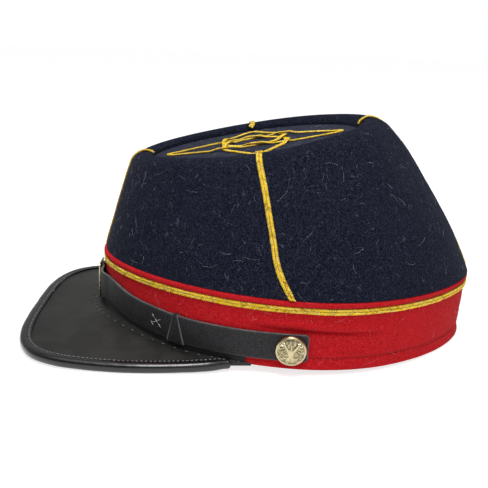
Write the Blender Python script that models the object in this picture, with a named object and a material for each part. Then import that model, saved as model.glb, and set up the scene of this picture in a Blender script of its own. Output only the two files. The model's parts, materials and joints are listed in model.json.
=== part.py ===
# Kepi: a wool crown with a sunk top over a red band, gold braid, a leather peak and a chin strap.
# Lengths are millimetres in the cap's own frame: the band's lower edge lies in z = 0, the peak points
# to -Y and the wearer's left side is +X. At the end the cap is tipped back and set on the floor.
# An angle round the cap is 0 at the front and 90 degrees on the wearer's left.
import math
from bisect import bisect_left
from collections import namedtuple

import bmesh
import bpy
from mathutils import Matrix, Vector

MM = 0.001

# Ovals round the cap. Each reaches from front to back along Y and is widest at one place between, in
# the plane z = height + slope * y. A taper draws the front or the back half in from a true ellipse.
Level = namedtuple("Level", "front back widest half_width height slope front_taper back_taper")
FOOT = Level(-107.6, 101.1, 3.3, 88.6, 0.0, 0.0, 0.03, 0.05)  # the band's lower edge, outside
WELT = Level(-110.6, 103.7, 3.2, 92.5, 36.6, 0.0, 0.03, 0.05)  # the top of the piping, outside
RIDGE = Level(-89.3, 37.5, -16.7, 62.5, 112.1, 0.215, 0.0, 0.02)  # the crown's highest line
DISC = Level(-83.8, 31.8, -18.8, 56.8, 107.2, 0.205, 0.0, 0.02)  # the edge of the sunk top

GAP = 0.3  # between pieces that touch
STATIONS = 72  # corners round a full oval

BAND_WALL = 2.4
BAND_TOP = 33.4
PIPING_WIDTH = 3.0
PIPING_PROUD = 1.0  # how far the piping stands outside the band
PIPING_ROUND = 0.9  # how far its corners are drawn in

CROWN_WALL = 2.2
CROWN_FOOT_FRONT = 1.4  # how far the crown's foot stands inside the piping's outside
CROWN_FOOT_SIDE = 0.5
CROWN_BULGE_FRONT = 1.0  # how far the crown's side swells past a straight line
CROWN_BULGE_BACK = 2.3  # this one is fullest a third of the way up
CROWN_BULGE_SIDE = 2.0
CROWN_STEPS = (0.0, 0.12, 0.25, 0.5, 0.75, 0.93, 0.965, 0.99, 1.0)  # shares of its height
ROLL_SHARE = 0.93  # the share of the crown's height where its rim starts to roll over
ROLL_WIDTH = 5.3
RIM_WIDTH = 3.0  # from the ridge in to where the sunk side begins
RIM_DROP = 1.1
RECESS_SHARE = 0.85  # the share of the way in to the sunk top where its side is nearly upright
RECESS_ROUND = 1.9
LEDGE_WIDTH = 2.3  # how far the crown's inner edge runs out under the rim
DISC_WALL = 2.0

BRAID_WIDTH = 3.0
BRAID_THICK = 1.2
BAND_BRAID_CENTRE = 31.9  # height of the braid that runs round under the piping
BRAID_FOOT_SHARE = 0.012  # the share of the crown's height where the braids start
SIDE_BRAID_ANGLE = 82.3
SIDE_BRAID_SWEEP = 2.7  # how far, in degrees, the side braids sweep back at their foot
SIDE_BRAID_SWEEP_SHARE = 0.3

KNOT_CENTRE = -26.4
KNOT_NARROW = 0.94  # the knot is a little narrower across than along
KNOT_LOOPS = 4
KNOT_TURN = 270.0  # how far the strand winds round the centre from one loop's tip to the next
KNOT_STATIONS = 120
KNOT_FINE_STEPS = 6000  # for spacing the stations evenly
KNOT_LIFT = 1.5  # how far a strand rises to pass over another
KNOT_RAMP = 2.6  # stations from a crossing to where the strand lies flat again
KNOT_WIDTH = 2.4
KNOT_THICK = 1.1

STRAP_HEIGHT = 14.6
STRAP_THICK = 1.5
STRAP_BEVEL = 0.4
STRAP_END = 90.0  # angle where each end of the strap lies
STRAP_CORNER = 0.9  # how far, in degrees, its corners are rounded back
STRAP_ROUND = 1.6
STRAP_CLEAR = 1.1  # from the band to the strap where the slide's back passes behind it
STRAP_FLAT = 10.0  # half the length of the straight stretch in the slide
STRAP_EASE = 27.0  # where the strap lies on the band again, across from the middle
BUTTON_ANGLE = 85.6
BUTTON_HEIGHT = 11.3
BUTTON_RADIUS = 7.9
BUTTON_EDGE = 1.9
BUTTON_DOME = 2.0
BUTTON_CORNERS = 24
SHANK_RADIUS = 1.6
SHANK_LENGTH = 2.0
SHANK_CORNERS = 16
SLIDE_WIDTH = 17.0
SLIDE_HEIGHT = 21.0
SLIDE_CENTRE = 15.6
SLIDE_FRONT_WALL = 0.7
SLIDE_BACK_WALL = 0.5
SLIDE_CLEAR = 0.85  # from the strap to the plate, at its middle
SLIDE_LEAN = -0.023  # the plate stands nearly upright
SLIDE_LOOP_WIDTH = 5.0
SLIDE_LOOP_WALL = 1.2

PEAK_THICK = 1.8
LIP_THICK = 1.1
PEAK_TAIL = 74.0  # angle where the peak's tab ends under the strap
EDGE_STEPS = 20  # from the peak's tip to the binding's tail
TAB_STEPS = 3  # from there to the end of the peak's tab
TAB_SHARE = EDGE_STEPS / (EDGE_STEPS + TAB_STEPS)
BINDING_WIDTH = 6.6
BINDING_THICK = 5.2
BINDING_SLOT = 4.6  # how deep the leather sits in the binding
BINDING_EASE = 0.3  # room for the leather's twist in the binding, above and below
BINDING_TAIL = 0.9  # the share of the binding's half where it begins to narrow to its tail
BINDING_NARROW = 0.4
EDGE_INSET = (BINDING_THICK - PEAK_THICK) / 2
PEAK_HOLLOW = 0.4  # how far the peak's top sags between the band and its edge

# Heights along the front, one row per angle round the cap: the middle of the strap, the fold where
# the peak meets the band, and the top of the lip that the peak turns up against the band.
FrontRow = namedtuple("FrontRow", "angle strap fold lip")
FRONT = [
    FrontRow(0, 16.8, 4.1, 4.4),
    FrontRow(8, 16.9, 4.2, 4.5),
    FrontRow(22, 16.8, 5.8, 8.8),
    FrontRow(35, 13.8, 4.2, 5.9),
    FrontRow(45, 12.5, 2.4, 4.5),
    FrontRow(56, 11.4, 0.9, 3.4),
    FrontRow(70, 11.4, 1.3, 3.4),
    FrontRow(90, 12.0, 1.3, 3.6),
]

# The strand of the knot on the sunk top, one row per angle from the tip of a loop: how far it lies
# from the knot's centre. It narrows to a hairpin at the tip and passes round the centre at the end.
KnotRow = namedtuple("KnotRow", "angle radius")
KNOT = [
    KnotRow(0, 48.8),
    KnotRow(4.3, 46.8),
    KnotRow(8, 42.5),
    KnotRow(11.7, 39.3),
    KnotRow(20, 33.5),
    KnotRow(29.3, 29.6),
    KnotRow(40, 25.8),
    KnotRow(52, 22.3),
    KnotRow(66, 19.3),
    KnotRow(79, 17.2),
    KnotRow(107, 14.8),
    KnotRow(135, 14.2),
]

# The peak's outer edge on the wearer's left, from the tip to the tab: one row per point, with the
# height of the binding's top.
EdgeRow = namedtuple("EdgeRow", "x y top")
EDGE = [
    EdgeRow(0.0, -151.8, -2.3),
    EdgeRow(24.4, -151.6, -2.3),
    EdgeRow(46.7, -150.0, -2.4),
    EdgeRow(65.0, -145.6, -2.5),
    EdgeRow(78.6, -137.0, -2.2),
    EdgeRow(86.8, -124.0, -1.9),
    EdgeRow(90.7, -108.2, -1.7),
    EdgeRow(92.4, -91.0, -1.4),
    EdgeRow(92.5, -74.0, -0.8),
    EdgeRow(91.6, -58.0, 0.2),
    EdgeRow(89.8, -45.0, 1.1),
    EdgeRow(87.3, -36.0, 1.8),
]
TAB_END = EdgeRow(86.2, -24.5, 1.4)

# A bird with spread wings, raised on the buttons: the right half of each outline, from the middle.
WING = [(0.5, 1.0), (2.0, 2.1), (3.6, 4.7), (5.3, 3.8), (5.6, 1.5), (4.2, -0.6), (2.1, -1.6), (0.5, -1.4)]
BODY = [(0.0, 4.9), (1.0, 4.2), (0.7, 2.8), (1.3, 0.6), (1.0, -1.9), (1.8, -4.9), (0.0, -4.5)]
RELIEF = 0.4
RELIEF_ROOT = 0.7  # how deep it reaches into the button

NAVY = (0.013, 0.014, 0.028, 1.0)
RED = (0.52, 0.012, 0.018, 1.0)
GOLD = (0.72, 0.48, 0.03, 1.0)
BRASS = (0.66, 0.54, 0.27, 1.0)
LEATHER = (0.035, 0.034, 0.035, 1.0)
PATENT = (0.012, 0.012, 0.013, 1.0)


def clear_scene():
    for item in list(bpy.data.objects):
        bpy.data.objects.remove(item, do_unlink=True)


def make_finish(name, colour, roughness, metallic=0.0):
    finish = bpy.data.materials.new(name)
    finish.use_nodes = True
    shader = finish.node_tree.nodes["Principled BSDF"]
    shader.inputs["Base Color"].default_value = colour
    shader.inputs["Roughness"].default_value = roughness
    shader.inputs["Metallic"].default_value = metallic
    return finish


# Shapes round the cap

def between(low, high, share):
    return Level(*(a + (b - a) * share for a, b in zip(low, high)))


def grown(level, front, back, side):
    return level._replace(front=level.front - front, back=level.back + back,
                          half_width=level.half_width + side)


def on_oval(level, angle, out=0.0, lift=0.0):
    # A point of the oval at this angle in degrees, moved outward and up.
    turn = math.radians(angle)
    if math.cos(turn) > 0:
        reach, taper = level.widest - level.front + out, level.front_taper
    else:
        reach, taper = level.back - level.widest + out, level.back_taper
    across = (math.sin(turn) - taper * math.sin(3 * turn)) / (1 + taper)
    y = level.widest - reach * math.cos(turn)
    return Vector(((level.half_width + out) * across, y, level.height + level.slope * y + lift))


def band_level(height):
    # The band's outer oval at a height above its lower edge.
    head = grown(WELT, -PIPING_PROUD, -PIPING_PROUD, -PIPING_PROUD)
    return between(FOOT, head, height / WELT.height)


def crown_level(share):
    # The crown's outer oval from its foot on the piping, share 0, to the ridge of its rim, share 1.
    swell = 4 * share * (1 - share)
    low_swell = 6.75 * share * (1 - share) ** 2
    if share <= ROLL_SHARE:
        shoulder = ROLL_WIDTH * share / ROLL_SHARE
    else:
        rolled = (share - ROLL_SHARE) / (1 - ROLL_SHARE)
        shoulder = ROLL_WIDTH * math.sqrt(max(0.0, 1 - rolled * rolled))
    foot = grown(WELT, -CROWN_FOOT_FRONT, 0.0, -CROWN_FOOT_SIDE)._replace(height=WELT.height + GAP)
    return grown(between(foot, RIDGE, share), swell * CROWN_BULGE_FRONT + shoulder,
                 low_swell * CROWN_BULGE_BACK + shoulder, swell * CROWN_BULGE_SIDE + shoulder)


def along(rows, column, angle):
    # A smooth value between the rows of a table that is keyed by angle, level at both of its ends.
    angle = min(abs(angle), rows[-1].angle)
    index = max(number for number, row in enumerate(rows[:-1]) if row.angle <= angle)
    low, high = rows[index], rows[index + 1]
    span = high.angle - low.angle
    share = (angle - low.angle) / span
    start, end = getattr(low, column), getattr(high, column)
    leave = steepness(rows, column, index) * span
    arrive = steepness(rows, column, index + 1) * span
    square, cube = share * share, share ** 3
    return (start * (2 * cube - 3 * square + 1) + leave * (cube - 2 * square + share)
            + end * (3 * square - 2 * cube) + arrive * (cube - square))


def steepness(rows, column, index):
    if index in (0, len(rows) - 1):
        return 0.0
    before, after = rows[index - 1], rows[index + 1]
    return (getattr(after, column) - getattr(before, column)) / (after.angle - before.angle)


def angles_round():
    return [360.0 * index / STATIONS for index in range(STATIONS)]


# Making meshes

def loft(name, rings, finish, closed=False):
    # Joins rings of points by extruding one ring along them all. A closed loft ends where it began,
    # and an open one gets a flat cap at each end.
    shape = bmesh.new()
    order = shape.verts.layers.int.new("order")
    verts = bmesh.ops.create_circle(shape, segments=len(rings[0]), radius=1.0)["verts"]
    for number, vert in enumerate(verts):
        vert[order] = number
        vert.co = rings[0][number] * MM
    edges = list(shape.edges)
    first = list(edges)
    for ring in rings[1:] + (rings[:1] if closed else []):
        grown_parts = bmesh.ops.extrude_edge_only(shape, edges=edges)["geom"]
        verts = [part for part in grown_parts if isinstance(part, bmesh.types.BMVert)]
        fresh = set(verts)
        edges = [part for part in grown_parts
                 if isinstance(part, bmesh.types.BMEdge) and fresh.issuperset(part.verts)]
        for vert in verts:
            vert.co = ring[vert[order]] * MM
    if closed:
        bmesh.ops.remove_doubles(shape, verts=shape.verts, dist=1e-7)
    else:
        bmesh.ops.holes_fill(shape, edges=first + edges, sides=0)
    bmesh.ops.recalc_face_normals(shape, faces=shape.faces)
    return add_object(name, shape, finish)


def add_object(name, shape, finish, sharp=35.0):
    mesh = bpy.data.meshes.new(name)
    shape.to_mesh(mesh)
    shape.free()
    mesh.materials.append(finish)
    mesh.shade_smooth()
    mesh.set_sharp_from_angle(angle=math.radians(sharp))
    thing = bpy.data.objects.new(name, mesh)
    bpy.context.scene.collection.objects.link(thing)
    return thing


def cut_or_join(thing, other, operation):
    # A Boolean with a hidden helper object.
    other.hide_render = True
    other.display_type = "WIRE"
    boolean = thing.modifiers.new(operation.title(), "BOOLEAN")
    boolean.operation = operation
    boolean.solver = "EXACT"
    boolean.object = other


def hoop(name, section, finish):
    # A closed ring round the cap: section is a list of (level, out, lift) corners.
    rings = [[on_oval(level, angle, out, lift) for angle in angles_round()]
             for level, out, lift in section]
    return loft(name, rings, finish, closed=True)


# The pieces

def make_band(red):
    foot, head = band_level(0.0), band_level(BAND_TOP)
    return hoop("band", [(foot, 0.0, 0.0), (band_level(BAND_TOP / 2), 0.0, 0.0), (head, 0.0, 0.0),
                         (head, -BAND_WALL, 0.0), (foot, -BAND_WALL, 0.0)], red)


def make_piping(red):
    low = BAND_TOP + GAP
    high = WELT.height
    middle = (low + high) / 2
    wall = [(low, -PIPING_WIDTH), (low, -PIPING_ROUND), (low + PIPING_ROUND, 0.0), (middle, 0.0),
            (high - PIPING_ROUND, 0.0), (high, -PIPING_ROUND), (high, -PIPING_WIDTH)]
    section = [(WELT._replace(height=height), out, 0.0) for height, out in wall]
    return hoop("piping", section, red)


def braid_face(width, thick):
    # Half round on each side of a groove: corners as (across, out), lying GAP off what carries them.
    half = width / 2
    low, high, groove = GAP + thick * 0.6, GAP + thick, GAP + thick * 0.7
    return [(-half, GAP), (-half, low), (-half / 2, high), (0.0, groove), (half / 2, high), (half, low),
            (half, GAP)]


def make_band_braid(gold):
    section = [(band_level(BAND_BRAID_CENTRE + up), out, 0.0)
               for up, out in braid_face(BRAID_WIDTH, BRAID_THICK)]
    return hoop("band_braid", section, gold)


def crown_section():
    # The outside of the crown's side from the piping up, then over the rim and down to the sunk top.
    outer = [crown_level(share) for share in CROWN_STEPS]
    rim = grown(RIDGE, -RIM_WIDTH, -RIM_WIDTH, -RIM_WIDTH)._replace(height=RIDGE.height - RIM_DROP)
    sunk = between(RIDGE, DISC, RECESS_SHARE)._replace(height=DISC.height + RECESS_ROUND)
    return outer, [rim, sunk, grown(DISC, GAP, GAP, GAP)]


def make_crown(navy):
    outer, recess = crown_section()
    outside = [(level, 0.0, 0.0) for level in outer + recess]
    inside = [
        (recess[-1], 0.0, -CROWN_WALL),
        (recess[-1], LEDGE_WIDTH, 0.4 - CROWN_WALL),
        (crown_level(0.9), -1.25 * CROWN_WALL, -1.5),
        (crown_level(0.6), -CROWN_WALL, 0.0),
        (outer[0], -CROWN_WALL, 0.0),
    ]
    return hoop("crown", outside + inside, navy)


def make_crown_top(navy):
    # The sunk top: a flat disc of felt, rounded off a little round its upper edge.
    rings = []
    for inward, lift in ((1.0, -DISC_WALL), (0.0, 0.2 - DISC_WALL), (0.0, -0.3), (1.2, 0.0)):
        level = grown(DISC, -inward, -inward, -inward)
        rings.append([on_oval(level, angle, 0.0, lift) for angle in angles_round()])
    return loft("crown_top", rings, navy)


def ribbon(path, width, thick):
    # The rings of a braid along a path of (point, sideways, outward) rows.
    return [[point + sideways * across + outward * out for across, out in braid_face(width, thick)]
            for point, sideways, outward in path]


def side_braid_angle(share):
    low = max(0.0, 1 - share / SIDE_BRAID_SWEEP_SHARE)
    return SIDE_BRAID_ANGLE + SIDE_BRAID_SWEEP * low * low


def make_crown_braid(name, angle_at, gold):
    # Up the side of the crown, over the rim and down to the sunk top. angle_at gives the angle for a
    # share of the crown's height.
    outer, recess = crown_section()
    shares = (BRAID_FOOT_SHARE,) + CROWN_STEPS[1:] + (1.0, 1.0)
    levels = [crown_level(BRAID_FOOT_SHARE)] + outer[1:] + recess[:2]
    points = [on_oval(level, angle_at(share)) for level, share in zip(levels, shares)]
    path = []
    for index, point in enumerate(points):
        upward = points[min(index + 1, len(points) - 1)] - points[max(index - 1, 0)]
        angle = angle_at(shares[index])
        round_cap = on_oval(levels[index], angle + 1) - on_oval(levels[index], angle - 1)
        outward = round_cap.cross(upward).normalized()
        sideways = upward.cross(outward) if index else round_cap  # the foot is cut level
        path.append((point, sideways.normalized(), outward))
    return loft(name, ribbon(path, BRAID_WIDTH, BRAID_THICK), gold)


def knot_point(wound):
    # A point of the strand's middle line, seen from above, after winding this many degrees.
    radius = along(KNOT, "radius", (wound + KNOT_TURN / 2) % KNOT_TURN - KNOT_TURN / 2)
    turn = math.radians(wound)
    return Vector((KNOT_NARROW * radius * math.sin(turn), KNOT_CENTRE - radius * math.cos(turn), 0.0))


def knot_points():
    # The strand's middle line at evenly spaced stations.
    whole = KNOT_TURN * KNOT_LOOPS
    fine = [knot_point(whole * step / KNOT_FINE_STEPS) for step in range(KNOT_FINE_STEPS + 1)]
    run = [0.0]
    for before, after in zip(fine, fine[1:]):
        run.append(run[-1] + (after - before).length)
    return [fine[bisect_left(run, run[-1] * index / KNOT_STATIONS)] for index in range(KNOT_STATIONS)]


def knot_lifts(points):
    # How high each station rides: where the strand crosses itself it goes over and under in turn.
    count = len(points)
    crossings = []
    for first in range(count):
        for second in range(first + 2, count):
            if (second + 1) % count == first:
                continue
            share = cross_share(points, first, second)
            if share is not None:
                crossings.append((first + share[0], second + share[1]))
    passes = sorted(value for pair in crossings for value in pair)
    lifts = []
    for station in range(count):
        over = min(ring_distance(station, value, count) for value in passes[0::2])
        under = min(ring_distance(station, value, count) for value in passes[1::2])
        ease = max(0.0, 1 - over / KNOT_RAMP) if over < under else 0.0
        lifts.append(KNOT_LIFT * min(1.0, 1.6 * ease * ease * (3 - 2 * ease)))
    return lifts


def ring_distance(a, b, count):
    apart = abs(a - b) % count
    return min(apart, count - apart)


def cross_share(points, first, second):
    # Where two stretches of the strand cross, seen from above, as shares along each.
    a, b = points[first], points[(first + 1) % len(points)]
    c, d = points[second], points[(second + 1) % len(points)]
    run, other, start = b - a, d - c, c - a
    area = run.x * other.y - run.y * other.x
    if abs(area) < 1e-9:
        return None
    share = (start.x * other.y - start.y * other.x) / area
    across = (start.x * run.y - start.y * run.x) / area
    return (share, across) if 0 <= share < 1 and 0 <= across < 1 else None


def make_top_knot(gold):
    points = knot_points()
    lifts = knot_lifts(points)
    plane = Vector((0.0, -DISC.slope, 1.0)).normalized()
    path = []
    for index, point in enumerate(points):
        before, after = points[index - 1], points[(index + 1) % KNOT_STATIONS]
        placed = Vector((point.x, point.y, DISC.height + DISC.slope * point.y + lifts[index]))
        forward = Vector((after.x - before.x, after.y - before.y, DISC.slope * (after.y - before.y)))
        path.append((placed, forward.cross(plane).normalized(), plane))
    return loft("top_knot", ribbon(path, KNOT_WIDTH, KNOT_THICK), gold, closed=True)


def strap_place(angle, height, out=0.0):
    # Along the band, but straight where it runs through the slide at the front.
    level = band_level(height)
    point = on_oval(level, angle, GAP + out)
    share = min(max((abs(point.x) - STRAP_FLAT) / (STRAP_EASE - STRAP_FLAT), 0.0), 1.0)
    straight = level.front - STRAP_CLEAR - out
    if share < 1.0 and straight < point.y < 0.0:
        ease = share * share * (3 - 2 * share)
        point.y = straight + (point.y - straight) * ease
    return point


def make_strap(leather):
    half = STRAP_HEIGHT / 2
    shoulder = STRAP_THICK - STRAP_BEVEL
    corners = [(-half, 0.0), (-half, shoulder), (STRAP_BEVEL - half, STRAP_THICK),
               (half - STRAP_BEVEL, STRAP_THICK), (half, shoulder), (half, 0.0)]
    step = 360.0 / STATIONS
    last = int((STRAP_END - STRAP_CORNER) / step)
    whole = [step * index for index in range(-last, last + 1)]
    rings = []
    for angle in [-STRAP_END, STRAP_CORNER - STRAP_END] + whole + [STRAP_END - STRAP_CORNER, STRAP_END]:
        narrow = STRAP_ROUND if abs(angle) == STRAP_END else 0.0
        middle = along(FRONT, "strap", angle)
        ring = []
        for up, out in corners:
            up = math.copysign(abs(up) - narrow, up)
            ring.append(strap_place(angle, middle + up, out))
        rings.append(ring)
    return loft("chin_strap", rings, leather)


def button_matrix(side):
    # Stands on the strap's face, its Z outward and its Y up the band.
    def place(angle, height):
        return strap_place(side * angle, height, STRAP_THICK + GAP)
    middle = place(BUTTON_ANGLE, BUTTON_HEIGHT)
    backward = place(BUTTON_ANGLE + 0.5, BUTTON_HEIGHT) - place(BUTTON_ANGLE - 0.5, BUTTON_HEIGHT)
    upward = (place(BUTTON_ANGLE, BUTTON_HEIGHT + 0.5) - middle).normalized()
    outward = backward.cross(upward).normalized() * side
    right = upward.cross(outward)
    turn = Matrix((right, upward, outward)).transposed().to_4x4()
    return Matrix.Translation(middle * MM) @ turn


def dome(radius):
    # The button's front above its back plane.
    return BUTTON_EDGE + BUTTON_DOME * math.sqrt(max(0.0, 1 - (radius / BUTTON_RADIUS) ** 2))


def raised(name, outline, brass):
    # A low relief that follows the button's dome.
    low = [Vector((x, y, dome(math.hypot(x, y)) - RELIEF_ROOT)) for x, y in outline]
    high = [Vector((x, y, dome(math.hypot(x, y)) + RELIEF)) for x, y in outline]
    return loft(name, [low, high], brass)


def make_button(name, side, brass):
    # The shell: a flat back on its shank, a rim and a low dome with the bird raised on it.
    profile = [(SHANK_RADIUS, -SHANK_LENGTH), (SHANK_RADIUS, 0.0), (BUTTON_RADIUS - 1.4, 0.0),
               (BUTTON_RADIUS, 0.9), (BUTTON_RADIUS, 1.5)]
    profile += [(radius, dome(radius)) for radius in (BUTTON_RADIUS - 0.5, 5.8, 3.6, 1.5)]
    button = loft(name, [circle(radius, height, BUTTON_CORNERS) for radius, height in profile], brass)
    button.matrix_world = button_matrix(side)
    left_wing = [(-x, y) for x, y in reversed(WING)]
    body = BODY + [(-x, y) for x, y in reversed(BODY[1:-1])]
    for part, outline in (("wing_a", WING), ("wing_b", left_wing), ("body", body)):
        relief = raised(name + "_" + part, outline, brass)
        relief.matrix_world = button.matrix_world
        cut_or_join(button, relief, "UNION")
    return button


def circle(radius, height, corners):
    turns = [2 * math.pi * step / corners for step in range(corners)]
    return [Vector((radius * math.cos(turn), radius * math.sin(turn), height)) for turn in turns]


def make_shank_hole(name, side, leather):
    depth = 3 * STRAP_THICK
    rings = [circle(SHANK_RADIUS + GAP, height, SHANK_CORNERS) for height in (-depth, SHANK_LENGTH)]
    hole = loft(name, rings, leather)
    hole.matrix_world = button_matrix(side)
    return hole


def make_slide(brass):
    # A flat plate over the strap at the front, held by a narrow loop that passes behind the strap.
    # A side is (y, lean): how far forward it stands at the middle, and how it leans with height.
    height = SLIDE_CENTRE
    lean = (band_level(height + 5).front - band_level(height - 5).front) / 10
    back = (band_level(height).front - GAP, lean)
    hollow_back = (back[0] - SLIDE_BACK_WALL, lean)
    plate_back = (strap_place(0.0, height, STRAP_THICK).y - SLIDE_CLEAR, SLIDE_LEAN)
    plate_middle = (plate_back[0] - SLIDE_FRONT_WALL / 2, SLIDE_LEAN)
    plate_front = (plate_back[0] - SLIDE_FRONT_WALL, SLIDE_LEAN)
    loop_front = (plate_back[0] - SLIDE_FRONT_WALL / 4, SLIDE_LEAN)
    opening = FRONT[0].strap - height + STRAP_HEIGHT / 2 + 2 * GAP

    def rectangle(x, near, far, half_height):
        corners = [(near, -half_height), (far, -half_height), (far, half_height), (near, half_height)]
        return [Vector((x, y + slope * up, height + up)) for (y, slope), up in corners]

    half, narrow = SLIDE_WIDTH / 2, SLIDE_LOOP_WIDTH / 2
    plate = loft("strap_slide", [rectangle(x, plate_back, plate_front, SLIDE_HEIGHT / 2)
                                 for x in (-half, half)], brass)
    outside = (back, plate_middle, opening + SLIDE_LOOP_WALL)
    inside = (hollow_back, loop_front, opening)
    loop = loft("slide_loop", [rectangle(-narrow, *outside), rectangle(narrow, *outside),
                               rectangle(narrow, *inside), rectangle(-narrow, *inside)],
                brass, closed=True)
    cut_or_join(plate, loop, "UNION")
    return plate


def edge_point(share):
    # The outer edge of the binding, share 0 at the tip and 1 at its tail: a smooth curve through EDGE.
    rows = [EDGE[1]._replace(x=-EDGE[1].x)] + EDGE + [TAB_END]
    place = share * (len(EDGE) - 1)
    index = min(int(place), len(EDGE) - 2)
    t = place - index
    a, b, c, d = (Vector(row) for row in rows[index:index + 4])
    return 0.5 * ((2 * b) + (c - a) * t + (2 * a - 5 * b + 4 * c - d) * t * t
                  + (3 * b - a - 3 * c + d) * t * t * t)


def mirrored(point, side):
    return Vector((point.x * side, point.y, point.z))


def edge_frame(share):
    # A point of the outer edge, with the directions out of the peak and up from it. Both lean with
    # the leather, which falls from the band to its edge.
    step = 0.01
    point = edge_point(share)
    forward = edge_point(min(share + step, 1.0)) - edge_point(max(share - step, 0.0))
    level = Vector((forward.y, -forward.x, 0.0)).normalized()
    inner = peak_root(PEAK_TAIL * TAB_SHARE * share)
    fall = (inner.z - point.z + EDGE_INSET) / (point - inner).dot(level)
    outward = (level - Vector((0.0, 0.0, fall))).normalized()
    upward = (level * fall + Vector((0.0, 0.0, 1.0))).normalized()
    return point, outward, upward


def peak_root(angle, column="fold", out=GAP):
    # A point of the peak where it meets the band.
    height = along(FRONT, column, angle)
    root = on_oval(band_level(max(height, 0.0)), angle, out)
    root.z = height
    return root


def peak_edge(share):
    # The edge of the leather inside the binding.
    point, outward, upward = edge_frame(share)
    return point - outward * (BINDING_WIDTH - BINDING_SLOT) - upward * EDGE_INSET


def peak_row(share):
    # One row of the peak, from the lip on the band over the top to the edge in the binding and back.
    angle = PEAK_TAIL * share
    fold = peak_root(angle, "fold", GAP + LIP_THICK)
    outer = peak_edge(min(share / TAB_SHARE, 1.0))
    if share > TAB_SHARE:
        outer = outer.lerp(Vector(TAB_END), (share - TAB_SHARE) / (1 - TAB_SHARE))
    top = []
    for step in (0.0, 0.3, 0.6, 0.85, 1.0):
        point = fold.lerp(outer, step)
        point.z -= PEAK_HOLLOW * math.sin(math.pi * step) ** 2 * (1 - share)
        top.append(point)
    under = [point - Vector((0.0, 0.0, PEAK_THICK)) for point in reversed(top[1:])]
    corner = peak_root(angle) - Vector((0.0, 0.0, PEAK_THICK))
    return [peak_root(angle, "lip"), peak_root(angle, "lip", GAP + LIP_THICK)] + top + under + [corner]


def make_peak(leather):
    rings = []
    steps = EDGE_STEPS + TAB_STEPS
    for index in range(-steps, steps + 1):
        share = abs(index) / steps
        side = -1 if index < 0 else 1
        rings.append([mirrored(point, side) for point in peak_row(share)])
    return loft("peak", rings, leather)


def make_binding(patent):
    # A rolled strip folded over the peak's edge.
    slot = PEAK_THICK / 2 + GAP + BINDING_EASE
    half = BINDING_THICK / 2
    deep = BINDING_WIDTH - BINDING_SLOT - 2 * GAP
    rings = []
    for index in range(-EDGE_STEPS, EDGE_STEPS + 1):
        share = abs(index) / EDGE_STEPS
        side = -1 if index < 0 else 1
        tail = max(0.0, (share - BINDING_TAIL) / (1 - BINDING_TAIL))
        width = BINDING_WIDTH * (1 - BINDING_NARROW * tail * tail)
        section = [(width, slot + 0.6), (width * 0.7, half), (1.4, half), (0.3, half * 0.55), (0.0, 0.0),
                   (0.3, -half * 0.55), (1.4, -half), (width * 0.7, -half), (width, -slot - 0.6),
                   (width, -slot), (deep, -slot), (deep, slot), (width, slot)]
        point, outward, upward = edge_frame(share)
        rings.append([mirrored(point - outward * inward + upward * (up - half), side)
                      for inward, up in section])
    return loft("peak_binding", rings, patent)


def seat(pieces, feet):
    # Tips the cap back until the band's back and the peak's lowest edge touch the floor together,
    # and puts the middle of its box at the origin.
    heel = on_oval(FOOT, 180.0) * MM
    lowest = [piece.matrix_world @ vert.co for piece in feet for vert in piece.data.vertices]
    tilt = max(math.atan2(heel.z - point.z, heel.y - point.y) for point in lowest if point.y < 0)
    turn = Matrix.Rotation(-tilt, 4, "X")
    corners = [turn @ piece.matrix_world @ vert.co for piece in pieces for vert in piece.data.vertices]
    middle = (min(point.y for point in corners) + max(point.y for point in corners)) / 2
    floor = min(point.z for point in corners)
    root = bpy.data.objects.new("kepi", None)
    bpy.context.scene.collection.objects.link(root)
    root.matrix_world = Matrix.Translation((0.0, -middle, -floor)) @ turn
    return root


def main():
    clear_scene()
    navy = make_finish("navy_wool", NAVY, 0.95)
    red = make_finish("red_wool", RED, 0.9)
    gold = make_finish("gold_braid", GOLD, 0.45, 0.5)
    brass = make_finish("brass", BRASS, 0.28, 1.0)
    leather = make_finish("black_leather", LEATHER, 0.5)
    patent = make_finish("binding_leather", PATENT, 0.25)

    pieces = [make_band(red), make_piping(red), make_band_braid(gold), make_crown(navy),
              make_crown_top(navy)]
    pieces.append(make_crown_braid("braid_front", lambda share: 0.0, gold))
    pieces.append(make_crown_braid("braid_back", lambda share: 180.0, gold))
    pieces.append(make_crown_braid("braid_left", side_braid_angle, gold))
    pieces.append(make_crown_braid("braid_right", lambda share: -side_braid_angle(share), gold))
    pieces.append(make_top_knot(gold))
    strap = make_strap(leather)
    for name, side in (("left", 1), ("right", -1)):
        hole = make_shank_hole("shank_hole_" + name, side, leather)
        cut_or_join(strap, hole, "DIFFERENCE")
        pieces.append(make_button("button_" + name, side, brass))
    pieces += [strap, make_slide(brass)]
    binding = make_binding(patent)
    pieces += [make_peak(leather), binding]

    root = seat(pieces, [binding])
    for thing in list(bpy.context.scene.objects):
        if thing is not root:
            thing.parent = root
    bpy.context.view_layer.update()


main()
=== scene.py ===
import json
import math
import random
from collections import namedtuple

import bmesh
import bpy
from mathutils import Matrix, Vector, kdtree, noise

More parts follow.
